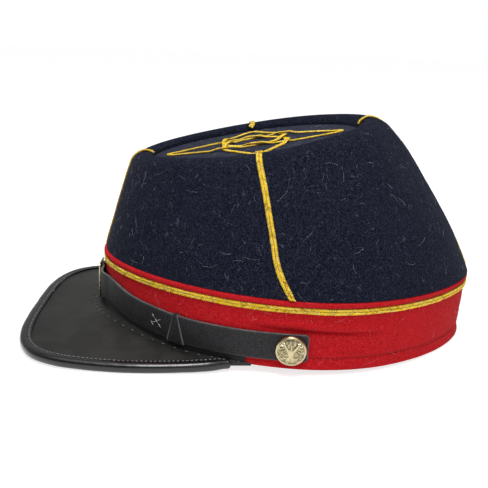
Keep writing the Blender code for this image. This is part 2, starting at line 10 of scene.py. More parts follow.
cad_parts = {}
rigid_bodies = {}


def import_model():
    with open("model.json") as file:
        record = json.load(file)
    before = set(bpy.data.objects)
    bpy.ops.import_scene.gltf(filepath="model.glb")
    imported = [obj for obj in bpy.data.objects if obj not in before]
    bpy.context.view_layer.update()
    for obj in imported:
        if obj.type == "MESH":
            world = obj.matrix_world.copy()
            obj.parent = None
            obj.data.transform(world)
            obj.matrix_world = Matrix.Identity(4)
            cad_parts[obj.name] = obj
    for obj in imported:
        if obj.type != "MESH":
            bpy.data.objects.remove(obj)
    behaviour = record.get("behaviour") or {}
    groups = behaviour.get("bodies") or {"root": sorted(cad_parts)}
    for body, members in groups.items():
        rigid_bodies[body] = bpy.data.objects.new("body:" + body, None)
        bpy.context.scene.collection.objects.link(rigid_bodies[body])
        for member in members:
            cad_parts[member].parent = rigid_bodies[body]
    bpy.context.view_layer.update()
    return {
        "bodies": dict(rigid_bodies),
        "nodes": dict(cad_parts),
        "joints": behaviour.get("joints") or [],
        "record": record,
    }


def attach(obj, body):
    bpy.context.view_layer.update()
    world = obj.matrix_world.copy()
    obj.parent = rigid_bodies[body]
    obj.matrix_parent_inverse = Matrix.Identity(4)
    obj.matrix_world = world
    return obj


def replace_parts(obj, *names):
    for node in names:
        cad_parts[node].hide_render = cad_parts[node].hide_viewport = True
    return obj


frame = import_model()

# A wool kepi over its CAD frame. Shapes are worked out in millimetres in the cap's own frame: the band
# stands in z = 0, the peak points to -Y and the wearer's left is +X. An angle round the cap is 0 at the
# front and 90 degrees on the left. The seat then tips the cap back onto its peak.
seat = (Matrix.Translation((0.0, 0.02285, 0.003335)) @ Matrix.Rotation(math.radians(-1.89013), 4, "X")
        @ Matrix.Scale(0.001, 4))
gap = 0.3  # between pieces that touch
upright = Vector((0.0, 0.0, 1.0))
random.seed(7)

view = {
    "place": (0.4830, -0.01954, 0.16812),
    "forward": (-0.9687, 0.0300, -0.2464),
    "right": (0.0226, 0.9992, 0.0327),
    "lens": 62.0,
    "sensor": 36.0,
}
studio = {
    "floorSize": 6.0,
    "floorTone": (0.40, 0.40, 0.40, 1.0),
    "floorGlow": 0.78,  # a lit white table
    "skyPower": 0.26,  # the room above the horizon
    "frontPower": 0.14,  # the room behind the camera
    "horizonPower": 1.0,  # the white background just above the floor
    "horizonTop": (0.045, 0.065),  # where it starts to darken and where it ends, as heights of a unit ray
    # name, place, aim, width and length, watts
    "lamps": [
        ("lamp_top", (0.36, -0.02, 1.2), (0.08, -0.02, 0.0), (0.32, 1.3), 15.5),
        ("lamp_key", (1.15, 0.35, 0.95), (0.0, 0.0, 0.06), (0.9, 0.9), 2.2),
    ],
    "roomLight": 0.9,  # from straight above, the same all over the table
    "roomSpread": 70.0,
}


def framed(across, up, out):
    # The turn that takes x, y and z to these three.
    return Matrix((across, up, out)).transposed().to_4x4()


def putObject(name, data):
    thing = bpy.data.objects.new(name, data)
    bpy.context.scene.collection.objects.link(thing)
    return thing


def meshFrom(name, shape, finish=None):
    mesh = bpy.data.meshes.new(name)
    shape.to_mesh(mesh)
    shape.free()
    if finish:
        mesh.materials.append(finish)
    return mesh


def setCamera():
    data = bpy.data.cameras.new("camera")
    data.lens, data.sensor_width, data.clip_start = view["lens"], view["sensor"], 0.01
    camera = putObject("camera", data)
    forward = Vector(view["forward"]).normalized()
    right = Vector(view["right"])
    right = (right - forward * right.dot(forward)).normalized()
    turn = framed(right, right.cross(forward), -forward)
    camera.matrix_world = Matrix.Translation(view["place"]) @ turn
    bpy.context.scene.camera = camera


def setStudio():
    scene = bpy.context.scene
    scene.view_settings.view_transform = "Standard"
    world = bpy.data.worlds.new("studio")
    scene.world = world
    world.use_nodes = True
    tree = world.node_tree
    ray = addNode(tree, "SeparateXYZ", {0: addNode(tree, "TexCoord").outputs["Generated"]}).outputs
    room = steps(tree, ray["X"], 0.0, 0.6, studio["skyPower"], studio["frontPower"])
    near = steps(tree, ray["Z"], *studio["horizonTop"], 1.0, 0.0)
    glow = times(tree, near, calc(tree, "SUBTRACT", studio["horizonPower"], room))
    tree.links.new(calc(tree, "ADD", room, glow), tree.nodes["Background"].inputs["Strength"])
    tree.nodes["Background"].inputs["Color"].default_value = (1.0, 1.0, 1.0, 1.0)
    for name, place, aim, size, watts in studio["lamps"]:
        data = bpy.data.lights.new(name, "AREA")
        data.shape, data.energy = "RECTANGLE", watts
        data.size, data.size_y = size
        lamp = putObject(name, data)
        lamp.location = place
        lamp.rotation_euler = (Vector(aim) - Vector(place)).to_track_quat("-Z", "Y").to_euler()
    data = bpy.data.lights.new("lamp_room", "SUN")
    data.energy, data.angle = studio["roomLight"], math.radians(studio["roomSpread"])
    putObject("lamp_room", data)
    paper = newFinish("pale_floor")
    setConstants(paper.node_tree, Base_Color=studio["floorTone"], Roughness=0.9, Specular_IOR_Level=0.1,
                 Emission_Color=(1.0, 1.0, 1.0, 1.0), Emission_Strength=studio["floorGlow"])
    shape = bmesh.new()
    bmesh.ops.create_grid(shape, x_segments=8, y_segments=8, size=studio["floorSize"])
    putObject("floor", meshFrom("floor", shape, paper))


# Materials

def newFinish(name):
    finish = bpy.data.materials.new(name)
    finish.use_nodes = True
    return finish


def startFinish(name):
    finish = newFinish(name)
    return finish, finish.node_tree, addNode(finish.node_tree, "TexCoord").outputs["Object"]


def addNode(tree, kind, inputs=None, **settings):
    item = tree.nodes.new("ShaderNode" + kind)
    for key, value in settings.items():
        setattr(item, key, value)
    for key, value in (inputs or {}).items():
        if isinstance(value, bpy.types.NodeSocket):
            tree.links.new(value, item.inputs[key])
        else:
            item.inputs[key].default_value = value
    return item


def calc(tree, operation, first, second=0.0):
    return addNode(tree, "Math", {0: first, 1: second}, operation=operation).outputs[0]


def times(tree, first, second):
    return calc(tree, "MULTIPLY", first, second)


def plus(tree, first, second, share):
    return calc(tree, "ADD", first, times(tree, second, share))


def shared(tree, first, second, share):
    return plus(tree, times(tree, first, 1.0 - share), second, share)


def toneOf(tree):
    # The values that a piece's rings were given.
    return addNode(tree, "Attribute", attribute_name="tone").outputs["Fac"]


def blendTones(tree, share, first, second):
    return addNode(tree, "Mix", {0: share, 6: first, 7: second}, data_type="RGBA").outputs[2]


def steps(tree, value, low, high, first=0.0, second=1.0):
    # value from low to high becomes first to second, smoothly, and stays there outside.
    remap = addNode(tree, "MapRange", {"Value": value, "From Min": low, "From Max": high,
                                       "To Min": first, "To Max": second})
    remap.interpolation_type = "SMOOTHSTEP"
    return remap.outputs["Result"]


def grainNoise(tree, place, size, detail=4.0, rough=0.6, distort=0.0):
    # size is that of the lumps, in millimetres of object space.
    return addNode(tree, "TexNoise", {"Vector": place, "Scale": 1000.0 / size, "Detail": detail,
                                      "Roughness": rough, "Distortion": distort}).outputs["Fac"]


def setConstants(tree, **constants):
    for key, value in constants.items():
        tree.nodes["Principled BSDF"].inputs[key.replace("_", " ")].default_value = value


def setShader(tree, colour, roughness, height, depth, bump, **constants):
    # depth is how high the bumps stand, in millimetres.
    normal = addNode(tree, "Bump", {"Strength": bump, "Distance": depth * 0.001, "Height": height})
    links = {"Base Color": colour, "Roughness": roughness, "Normal": normal.outputs["Normal"]}
    for key, socket in links.items():
        tree.links.new(socket, tree.nodes["Principled BSDF"].inputs[key])
    setConstants(tree, **constants)


def feltFinish(name, look):
    # Fuzzy wool: soft patches, a fine salt-and-pepper nap and short pale fibres that lie all ways.
    finish, tree, place = startFinish(name)
    drawn = addNode(tree, "Mapping", {"Vector": place, "Scale": look["stretch"]}).outputs[0]
    patches = grainNoise(tree, place, look["patch"], 3.0)
    nap = grainNoise(tree, drawn, look["nap"], 3.0, 0.7)
    clumps = grainNoise(tree, drawn, look["clump"], 4.0, 0.7, 0.6)
    curls = grainNoise(tree, place, look["curl"], 2.0, 0.5, 1.2)
    shown = grainNoise(tree, place, look["curl"] * 0.5, 2.0, 0.5)
    line = steps(tree, calc(tree, "ABSOLUTE", calc(tree, "SUBTRACT", curls, 0.5)), 0.004, 0.016, 1.0, 0.0)
    fibre = times(tree, line, steps(tree, shown, 0.52, 0.66))
    specks = steps(tree, grainNoise(tree, place, look["speck"], 1.0, 0.5), 0.62, 0.74)
    tone = shared(tree, nap, clumps, look["clumpShare"])
    colour = blendTones(tree, steps(tree, tone, 0.38, 0.64), look["dark"], look["light"])
    colour = blendTones(tree, steps(tree, patches, 0.35, 0.7, 0.0, look["patchShare"]), colour,
                        look["patchTone"])
    pale = calc(tree, "MAXIMUM", times(tree, fibre, look["fibreShare"]),
                times(tree, specks, look["speckShare"]))
    colour = blendTones(tree, pale, colour, look["fibreTone"])
    height = plus(tree, times(tree, nap, 0.8), fibre, 0.3)
    height = plus(tree, height, clumps, 0.4)
    if look.get("weave"):
        uv = addNode(tree, "UVMap").outputs["UV"]
        for direction, share in (("X", 0.12), ("Y", 0.30)):
            wave = addNode(tree, "TexWave", {"Vector": uv, "Scale": 0.3142 / look["weave"], "Distortion": 1.4,
                                             "Detail": 2.0, "Detail Scale": 3.0}, bands_direction=direction)
            height = plus(tree, height, wave.outputs["Fac"], share)
    rough = steps(tree, nap, 0.3, 0.7, 0.88, 0.98)
    setShader(tree, colour, rough, height, look["depth"], look["bump"],
              Specular_IOR_Level=look["shine"], Sheen_Weight=look["sheen"],
              Sheen_Roughness=look["sheenRough"], Sheen_Tint=look["sheenTint"])
    return finish


def braidFinish(name, look):
    # Plaited metallic yarn: fine threads run along each plait, with painted shade in the grooves and painted
    # glints, bright spots where the roughness is also lower.
    finish, tree, place = startFinish(name)
    uv = addNode(tree, "SeparateXYZ", {0: addNode(tree, "UVMap").outputs["UV"]})
    groove = toneOf(tree)
    aside = calc(tree, "ABSOLUTE", uv.outputs["X"])
    slanted = plus(tree, uv.outputs["Y"], aside, look["slant"])
    yarn = addNode(tree, "CombineXYZ", {0: slanted, 1: aside})
    threads = addNode(tree, "TexWave", {"Vector": yarn.outputs[0], "Scale": 0.3142 / look["thread"],
                                        "Distortion": 1.5, "Detail": 2.0}).outputs["Fac"]
    glints = grainNoise(tree, place, look["glint"], 2.0, 0.6)
    patches = grainNoise(tree, place, 9.0, 2.0)
    # painted shade: low groove marks are painted in the deep colour
    colour = blendTones(tree, steps(tree, groove, 0.05, 0.75), look["deep"], look["bright"])
    colour = blendTones(tree, times(tree, threads, 0.3), colour, look["shade"])
    colour = blendTones(tree, steps(tree, patches, 0.4, 0.7, 0.0, 0.25), colour, look["worn"])
    dull = steps(tree, grainNoise(tree, place, look["glint"] * 1.3, 2.0, 0.6), 0.40, 0.50, 0.4, 0.0)
    colour = blendTones(tree, dull, colour, look["shade"])
    # painted glints: bright spots of the spark colour
    colour = blendTones(tree, steps(tree, glints, 0.54, 0.62, 0.0, 0.9), colour, look["spark"])
    rough = steps(tree, glints, 0.45, 0.65, 0.5, 0.25)
    setShader(tree, colour, rough, threads, 0.09, 0.8, Metallic=look["metal"], Specular_IOR_Level=0.0)
    return finish


def leatherFinish(name, look):
    # Grained leather or coated cloth: cells of grain, soft mottling, and what tone marks: lighter cut edges,
    # partly a painted highlight, and on the peak the lip and fold painted black as shade.
    finish, tree, place = startFinish(name)
    mottle = grainNoise(tree, place, look["mottle"], 4.0, 0.6, 0.4)
    fine = grainNoise(tree, place, look["grain"] * 0.5, 3.0, 0.6)
    wander = addNode(tree, "TexNoise", {"Vector": place, "Scale": 350.0}).outputs["Color"]
    warped = addNode(tree, "VectorMath", {0: wander, 1: (0.0006, 0.0006, 0.0006), 2: place},
                     operation="MULTIPLY_ADD")
    cells = addNode(tree, "TexVoronoi", {"Vector": warped.outputs[0], "Scale": 1000.0 / look["grain"]},
                    feature="SMOOTH_F1").outputs["Distance"]
    cutEdgeAndShade = toneOf(tree)
    tone = shared(tree, mottle, fine, look["fineShare"])
    colour = blendTones(tree, steps(tree, tone, 0.38, 0.62), look["dark"], look["light"])
    colour = blendTones(tree, cutEdgeAndShade, colour, look["cut"])
    height = plus(tree, times(tree, cells, -0.8), fine, 0.5)
    rough = plus(tree, steps(tree, mottle, 0.3, 0.7, *look["rough"]), calc(tree, "SUBTRACT", fine, 0.5), 0.12)
    rough = plus(tree, rough, cutEdgeAndShade, 0.25)
    setShader(tree, colour, rough, height, look["depth"], look["bump"], Specular_IOR_Level=look["shine"],
              Coat_Weight=look["coat"], Coat_Roughness=look["coatRough"])
    return finish


def brassFinish(name, look):
    # Stamped brass: bright where wear has polished it, darker in the relief, with fine handling marks; on the
    # slide the loop behind the plate is painted dark as shade.
    finish, tree, place = startFinish(name)
    wearAndShadeTone = toneOf(tree)
    cloud = grainNoise(tree, place, 3.5, 4.0, 0.6)
    specks = grainNoise(tree, place, 0.35, 3.0, 0.7)
    colour = blendTones(tree, steps(tree, wearAndShadeTone, 0.0, 0.8), look["deep"], look["bright"])
    colour = blendTones(tree, steps(tree, cloud, 0.45, 0.7, 0.0, 0.35), colour, look["worn"])
    rough = plus(tree, steps(tree, cloud, 0.3, 0.7, *look["rough"]), specks, 0.08)
    setShader(tree, colour, rough, specks, 0.012, 0.5, Metallic=1.0)
    return finish


def threadFinish(name, tone, light, rough):
    # Twisted sewing thread or a wool hair.
    finish, tree, place = startFinish(name)
    fuzz = grainNoise(tree, place, 0.4, 3.0)
    colour = blendTones(tree, steps(tree, fuzz, 0.35, 0.65), tone, light)
    setShader(tree, colour, steps(tree, fuzz, 0.3, 0.7, rough - 0.08, rough + 0.08), fuzz, 0.04, 0.5)
    return finish


feltLooks = {
    "navy_felt": {
        "dark": (0.0006, 0.0010, 0.0040, 1), "light": (0.0150, 0.0178, 0.0350, 1),
        "patchTone": (0.0095, 0.0108, 0.0200, 1), "patchShare": 0.2,
        "fibreTone": (0.10, 0.11, 0.15, 1), "fibreShare": 0.45, "speckShare": 0.32,
        "patch": 38.0, "clump": 2.2, "clumpShare": 0.15, "nap": 0.85, "curl": 7.0, "speck": 0.55,
        "stretch": (1.0, 1.0, 1.0), "depth": 0.35, "bump": 0.7, "shine": 0.06,
        "sheen": 0.018, "sheenRough": 0.4, "sheenTint": (0.6, 0.66, 0.85, 1),
    },
    "red_felt": {
        "dark": (0.26, 0.0035, 0.0060, 1), "light": (0.62, 0.0150, 0.0215, 1),
        "patchTone": (0.45, 0.0090, 0.0130, 1), "patchShare": 0.3,
        "fibreTone": (0.70, 0.10, 0.09, 1), "fibreShare": 0.3, "speckShare": 0.25,
        "patch": 30.0, "clump": 2.0, "clumpShare": 0.2, "nap": 0.7, "curl": 6.0, "speck": 0.8,
        "stretch": (1.0, 1.0, 1.9), "depth": 0.30, "bump": 0.7, "weave": 0.9, "shine": 0.08,
        "sheen": 0.025, "sheenRough": 0.45, "sheenTint": (1.0, 0.45, 0.42, 1),
    },
}
# painted light: the sunk top gets a lighter copy of the navy felt, as if lit from above
feltLooks["navy_felt_top"] = feltLooks["navy_felt"] | {"dark": (0.0060, 0.0070, 0.0140, 1),
                                                       "light": (0.0420, 0.0480, 0.0740, 1)}
# cut is the colour that tone blends in; this near black one paints the shade on the peak's lip and fold
plainLeather = {
    "cut": (0.0015, 0.0015, 0.0015, 1), "fineShare": 0.3, "shine": 0.40, "coat": 0.0, "coatRough": 0.3,
}
leatherLooks = {
    "peak_grain": plainLeather | {
        "dark": (0.0075, 0.0073, 0.0066, 1), "light": (0.0145, 0.0140, 0.0128, 1),
        "mottle": 16.0, "grain": 1.2, "depth": 0.03, "bump": 0.35, "rough": (0.46, 0.54),
    },
    "binding_grain": plainLeather | {
        "dark": (0.0035, 0.0036, 0.0040, 1), "light": (0.006, 0.006, 0.0065, 1), "mottle": 9.0,
        "grain": 1.1, "depth": 0.02, "bump": 0.3, "rough": (0.20, 0.28), "coat": 0.45, "coatRough": 0.15,
    },
    "strap_grain": plainLeather | {
        # cut: the lighter cut edges; on the strap their tone is raised, partly a painted highlight along the
        # edges
        "dark": (0.004, 0.004, 0.0050, 1), "light": (0.024, 0.024, 0.0270, 1), "cut": (0.17, 0.17, 0.17, 1),
        "mottle": 6.0, "fineShare": 0.75, "grain": 1.5, "depth": 0.06, "bump": 0.6, "rough": (0.55, 0.68),
        "shine": 0.27,
    },
}
threadLooks = {  # two tones and a roughness
    "red_thread": ((0.05, 0.0015, 0.002, 1), (0.14, 0.004, 0.006, 1), 0.7),
    # the peak's thread is a pale grey, in part a painted glint at each stitch
    "grey_thread_painted_glints": ((0.05, 0.05, 0.05, 1), (0.22, 0.22, 0.22, 1), 0.4),
    "pale_thread": ((0.08, 0.08, 0.08, 1), (0.27, 0.27, 0.28, 1), 0.5),
    "white_thread": ((0.30, 0.30, 0.30, 1), (0.62, 0.62, 0.60, 1), 0.5),
    "pale_hair": ((0.20, 0.21, 0.26, 1), (0.52, 0.54, 0.60, 1), 0.6),
    "dim_hair": ((0.05, 0.055, 0.085, 1), (0.16, 0.17, 0.22, 1), 0.7),
    "navy_hair": ((0.012, 0.014, 0.028, 1), (0.05, 0.055, 0.085, 1), 0.8),
    "red_hair": ((0.45, 0.010, 0.015, 1), (0.80, 0.05, 0.05, 1), 0.8),
}
braidLook = {
    # deep is the painted shade of the grooves and spark the painted glints
    "deep": (0.26, 0.11, 0.002, 1), "bright": (1.0, 0.70, 0.012, 1), "shade": (0.55, 0.29, 0.003, 1),
    "worn": (0.95, 0.66, 0.035, 1), "spark": (1.0, 0.93, 0.42, 1),
    "thread": 0.22, "slant": 0.9, "glint": 0.62, "metal": 0.45,
}
brassLook = {
    # deep is the tarnish in the button's relief and the painted shade on the slide's loop
    "deep": (0.045, 0.032, 0.011, 1), "bright": (0.58, 0.51, 0.31, 1), "worn": (0.44, 0.36, 0.18, 1),
    "rough": (0.18, 0.30),
}


# Shapes round the cap. Each level is an oval in the plane z = height + slope * y, widest at one place
# between its front and back. A taper draws that half in from a true ellipse.
Level = namedtuple("Level", "front back widest halfWidth height slope frontTaper backTaper")
foot = Level(-107.6, 101.1, 3.3, 88.6, 0.0, 0.0, 0.03, 0.05)  # the band's lower edge
welt = Level(-110.6, 103.7, 3.2, 92.5, 36.6, 0.0, 0.03, 0.05)  # the top of the piping
ridge = Level(-89.3, 37.5, -16.7, 62.5, 112.1, 0.215, 0.0, 0.02)  # the crown's highest line
disc = Level(-83.8, 31.8, -18.8, 56.8, 107.2, 0.205, 0.0, 0.02)  # the edge of the sunk top


def between(low, high, share):
    return Level(*(a + (b - a) * share for a, b in zip(low, high)))


def grown(level, front, back, side):
    return level._replace(front=level.front - front, back=level.back + back, halfWidth=level.halfWidth + side)


def onOval(level, angle, out=0.0, lift=0.0):
    turn = math.radians(angle)
    if math.cos(turn) > 0:
        reach, taper = level.widest - level.front + out, level.frontTaper
    else:
        reach, taper = level.back - level.widest + out, level.backTaper
    across = (math.sin(turn) - taper * math.sin(3 * turn)) / (1 + taper)
    y = level.widest - reach * math.cos(turn)
    return Vector(((level.halfWidth + out) * across, y, level.height + level.slope * y + lift))


def smoothLevels(levels, count):
    # More levels on a smooth curve through these.
    rows = [levels[0]] + list(levels) + [levels[-1]]
    found = []
    for index in range(len(levels) - 1):
        for step in range(count):
            found.append(Level(*(hermite(*four, step / count) for four in zip(*rows[index:index + 4]))))
    return found + [levels[-1]]


def hermite(a, b, c, d, t):
    return 0.5 * (2 * b + (c - a) * t + (2 * a - 5 * b + 4 * c - d) * t * t
                  + (3 * b - a - 3 * c + d) * t * t * t)


def along(rows, column, angle):
    # A smooth value between the rows of a table that is keyed by angle, level at both of its ends.
    angle = min(abs(angle), rows[-1].angle)
    index = max(number for number, row in enumerate(rows[:-1]) if row.angle <= angle)
    low, high = rows[index], rows[index + 1]
    span = high.angle - low.angle
    share = (angle - low.angle) / span
    start, end = getattr(low, column), getattr(high, column)
    leave, arrive = steepness(rows, column, index) * span, steepness(rows, column, index + 1) * span
    square, cube = share * share, share ** 3
    return (start * (2 * cube - 3 * square + 1) + leave * (cube - 2 * square + share)
            + end * (3 * square - 2 * cube) + arrive * (cube - square))


def steepness(rows, column, index):
    if index in (0, len(rows) - 1):
        return 0.0
    before, after = rows[index - 1], rows[index + 1]
    return (getattr(after, column) - getattr(before, column)) / (after.angle - before.angle)


def soft(point, size, seed=0.0):
    # Smooth noise from -1 to 1 with lumps of this size.
    return noise.noise(point / size + Vector((seed, 2 * seed, -seed)))


def slackAt(part, point, first, second):
    # Wide waves and small ripples of a part's cloth or leather, with a seed for each.
    wave = part["slack"] * soft(point, part["slackSize"], first)
    return wave + part["ripple"] * soft(point, part["rippleSize"], second)


def fromFront(angle):
    # The same angle between -180 and 180.
    return (angle + 180) % 360 - 180


def bell(distance, width):
    return math.exp(-(distance / width) ** 2)


def held(value):
    return max(0.0, min(1.0, value))


def smooth(value):
    value = held(value)
    return value * value * (3 - 2 * value)


def evenly(points, step, closed=False):
    # The same line with its points an even step apart.
    line = points + points[:1] if closed else points
    lengths = [0.0]
    for first, second in zip(line, line[1:]):
        lengths.append(lengths[-1] + (second - first).length)
    count = max(4, round(lengths[-1] / step))
    found, index = [], 0
    for number in range(count if closed else count + 1):
        aim = lengths[-1] * number / count
        while index < len(lengths) - 2 and lengths[index + 1] < aim:
            index += 1
        share = (aim - lengths[index]) / max(1e-9, lengths[index + 1] - lengths[index])
        found.append(line[index].lerp(line[index + 1], min(1.0, share)))
    return found


def heading(line, index):
    # The way the line runs at one of its points.
    return line[min(index + 1, len(line) - 1)] - line[max(index - 1, 0)]


def nearTree(points):
    tree = kdtree.KDTree(len(points))
    for index, point in enumerate(points):
        tree.insert(point, index)
    tree.balance()
    return tree


# Making meshes

def loft(name, rings, finish, closed=False, marks=None, uvSize=(1.0, 1.0), sharp=50.0):
    # A grid bent round the rings of points. marks are values from 0 to 1 that the finish reads.
    columns, rows = len(rings[0]), len(rings) if closed else len(rings) - 1
    shape = bmesh.new()
    uvMap = shape.loops.layers.uv.new("UVMap")
    tone = shape.verts.layers.float.new("tone")
    bmesh.ops.create_grid(shape, x_segments=columns, y_segments=rows, size=0.5, calc_uvs=True)
    for face in shape.faces:
        for corner in face.loops:
            uv = corner[uvMap].uv
            corner[uvMap].uv = (uv.x * uvSize[0], uv.y * uvSize[1])
    for vert in shape.verts:
        column = round((vert.co.x + 0.5) * columns) % columns
        row = round((vert.co.y + 0.5) * rows) % len(rings)
        vert.co = rings[row][column]
        if marks:
            vert[tone] = marks[row][column]
    bmesh.ops.remove_doubles(shape, verts=shape.verts, dist=0.002)
    if not closed:
        open_ = [edge for edge in shape.edges if edge.is_boundary]
        bmesh.ops.holes_fill(shape, edges=open_, sides=0)
    bmesh.ops.recalc_face_normals(shape, faces=shape.faces)
    return addPiece(name, shape, finish, sharp)


def addPiece(name, shape, finish, sharp=50.0):
    shape.transform(seat)
    mesh = meshFrom(name, shape, finish)
    mesh.shade_smooth()
    mesh.set_sharp_from_angle(angle=math.radians(sharp))
    piece = putObject(name, mesh)
    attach(piece, "root")
    return piece


def settledMesh(thing):
    # The mesh that its modifiers or its curve make.
    bpy.context.view_layer.update()
    return bpy.data.meshes.new_from_object(thing.evaluated_get(bpy.context.evaluated_depsgraph_get()))


def dress(piece, slotName, *nodes):
    if nodes:
        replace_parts(piece, *nodes)
    print("made", piece.name, len(piece.data.polygons), "faces")
    return piece


def hoop(name, section, columns, finish, wave=None, uvSize=(600.0, 80.0), raised=None):
    # A closed ring round the cap: section is a closed list of (level, out, lift). wave and raised add
    # to out and to lift.
    rings = []
    for row, (level, out, lift) in enumerate(section):
        ring = []
        for column in range(columns):
            angle = 360.0 * column / columns
            extra = wave(row, angle) if wave else 0.0
            higher = raised(row, angle) if raised else 0.0
            ring.append(onOval(level, angle, out + extra, lift + higher))
        rings.append(ring)
    return loft(name, rings, finish, closed=True, uvSize=uvSize)


def stitchRow(name, places, size, finish):
    # Small sewn stitches. places are rows of (point, along, outward) and size is (length, thickness).
    shape = bmesh.new()
    for point, forward, outward in places:
        sideways = outward.cross(forward).normalized()
        turn = framed(forward.normalized() * size[0] / 2, sideways * size[1] / 2,
                      outward.normalized() * size[1] / 2)
        turn = Matrix.Translation(point) @ turn @ Matrix.Rotation(math.pi / 2, 4, "Y")
        bmesh.ops.create_uvsphere(shape, u_segments=8, v_segments=6, radius=1.0, matrix=turn)
    return addPiece(name, shape, finish)


def stitchPlaces(line, pitch):
    line = evenly(line, pitch)
    return [(point, heading(line, index), upright) for index, point in enumerate(line)]


def lifted(places, up):
    return [(point + upright * up, forward, outward) for point, forward, outward in places]


# The crown

crown = {
    "wall": 2.2, "footFront": 1.4, "footSide": 0.5,
    "bulgeFront": 1.0, "bulgeBack": 2.3, "bulgeSide": 2.0,
    "rollShare": 0.93, "rollWidth": 5.3, "rimWidth": 3.0, "rimDrop": 1.1,
    "recessShare": 0.85, "recessRound": 1.9, "ledge": 2.3,
    "columns": 300, "sideRows": 46, "rollRows": 9,
    "slack": 0.55, "slackSize": 36.0, "ripple": 0.14, "rippleSize": 9.0,
    "sag": 3.0, "sagAngle": 77.0, "sagSpread": 25.0,
    # angle, spread and how far out: the braids pull the cloth in, and it swells beside the back one
    "pulls": [(0, 3.0, -0.3), (180, 2.2, -0.9), (83, 3.0, -0.25), (-83, 3.0, -0.25), (172.5, 5.0, 0.8)],
    "swell": (170.0, 11.0, 0.78, 0.19, 2.0),  # angle, spread, share of the height, spread, out
}
slackRows = 12  # the cloth's slack dies away over so many rows inside the rim


def crownLevel(share):
    swell = 4 * share * (1 - share)
    lowSwell = 6.75 * share * (1 - share) ** 2
    rollShare, rollWidth = crown["rollShare"], crown["rollWidth"]
    if share <= rollShare:
        shoulder = rollWidth * share / rollShare
    else:
        shoulder = rollWidth * math.sqrt(max(0.0, 1 - ((share - rollShare) / (1 - rollShare)) ** 2))
    low = grown(welt, -crown["footFront"], 0.0, -crown["footSide"])._replace(height=welt.height + gap)
    return grown(between(low, ridge, share), swell * crown["bulgeFront"] + shoulder,
                 lowSwell * crown["bulgeBack"] + shoulder, swell * crown["bulgeSide"] + shoulder)


def crownSlack(level, angle, share):
    # How far the cloth stands in or out: soft waves that die away at the foot.
    wave = slackAt(crown, onOval(level, angle), 1.7, 4.2)
    for seam, spread, out in crown["pulls"]:
        wave += out * bell(fromFront(angle - seam), spread)
    middle, spread, high, tall, out = crown["swell"]
    wave += out * bell(angle - middle, spread) * bell(share - high, tall)
    return smooth((share - 0.02) / 0.35) * wave


def rimSag(angle, share):
    # The rim has sunk level with the top on the wearer's left.
    return -crown["sag"] * bell(angle - crown["sagAngle"], crown["sagSpread"]) * smooth((share - 0.6) / 0.4)


def crownPoint(share, angle):
    level = crownLevel(share)
    return onOval(level, angle, crownSlack(level, angle, share), rimSag(angle, share))


def recessLevels():
    rim = grown(ridge, *[-crown["rimWidth"]] * 3)._replace(height=ridge.height - crown["rimDrop"])
    sunk = between(ridge, disc, crown["recessShare"])._replace(height=disc.height + crown["recessRound"])
    return [ridge, rim, sunk, grown(disc, gap, gap, gap)]


def crownShares():
    side = [crown["rollShare"] * row / crown["sideRows"] for row in range(crown["sideRows"])]
    rolled = [math.sin(math.pi / 2 * row / crown["rollRows"]) for row in range(crown["rollRows"])]
    return side + [crown["rollShare"] + (1 - crown["rollShare"]) * turn for turn in rolled]


def crownRows():
    # From the foot to the sunk top: level, share of the height and how much of the slack is left there.
    rows = [(crownLevel(share), share, 1.0) for share in crownShares()]
    recess = smoothLevels(recessLevels(), 6)
    return rows + [(level, 1.0, held(1 - row / slackRows)) for row, level in enumerate(recess)]


def makeCrown(felt):
    rows = crownRows()
    section = [(level, 0.0, 0.0) for level, share, fade in rows]
    wall, last = crown["wall"], rows[-1][0]
    section += [(last, 0.0, -wall), (last, crown["ledge"], 0.4 - wall), (crownLevel(0.9), -1.25 * wall, -1.5)]
    section += [(crownLevel(share), -wall, 0.0) for share in (0.75, 0.6, 0.4, 0.2, 0.0)]

    def wave(row, angle):
        if row >= len(rows):
            return 0.0
        level, share, fade = rows[row]
        return fade * crownSlack(level, angle, share)

    def raised(row, angle):
        return rows[row][2] * rimSag(angle, rows[row][1]) if row < len(rows) else 0.0

    piece = hoop("felt_crown", section, crown["columns"], felt, wave, raised=raised)
    return dress(piece, "navy_wool", "crown")


sunkTop = {
    "thick": 2.0, "edgeStart": 0.98, "columns": 180, "rows": 34,
    "dip": 0.3, "slack": 0.5, "slackSize": 28.0, "ripple": 0.1, "rippleSize": 8.0,
}
topNormal = Vector((0.0, -disc.slope, 1.0)).normalized()


def topSag(point, share):
    return min(1.0, 4 * (1 - share)) * (slackAt(sunkTop, point, 2.9, 5.0) - sunkTop["dip"])


def topPoint(angle, share, lift=0.0):
    # share is 0 in the middle of the sunk top and 1 at its edge.
    middle, edge = (disc.front + disc.back) / 2, onOval(disc, angle)
    point = Vector((edge.x * share, middle + (edge.y - middle) * share, 0.0))
    point.z = disc.height + disc.slope * point.y + lift + topSag(point, share)
    return point


def makeCrownTop(felt):
    columns, rows, start, thick = (sunkTop[key] for key in ("columns", "rows", "edgeStart", "thick"))
    outline = [(0.001 + (start - 0.001) * row / rows, 0.0) for row in range(rows + 1)]
    outline += [(0.991, -0.08), (0.997, -0.3), (1.0, -0.7), (1.0, 0.3 - thick)]
    outline += [(share, -thick) for share in (start, 0.5, 0.001)]
    rings = [[topPoint(360.0 * column / columns, share, lift) for column in range(columns)]
             for share, lift in outline]
    return dress(loft("felt_top", rings, felt, uvSize=(300.0, 60.0)), "navy_wool", "crown_top")


# The band and its piping

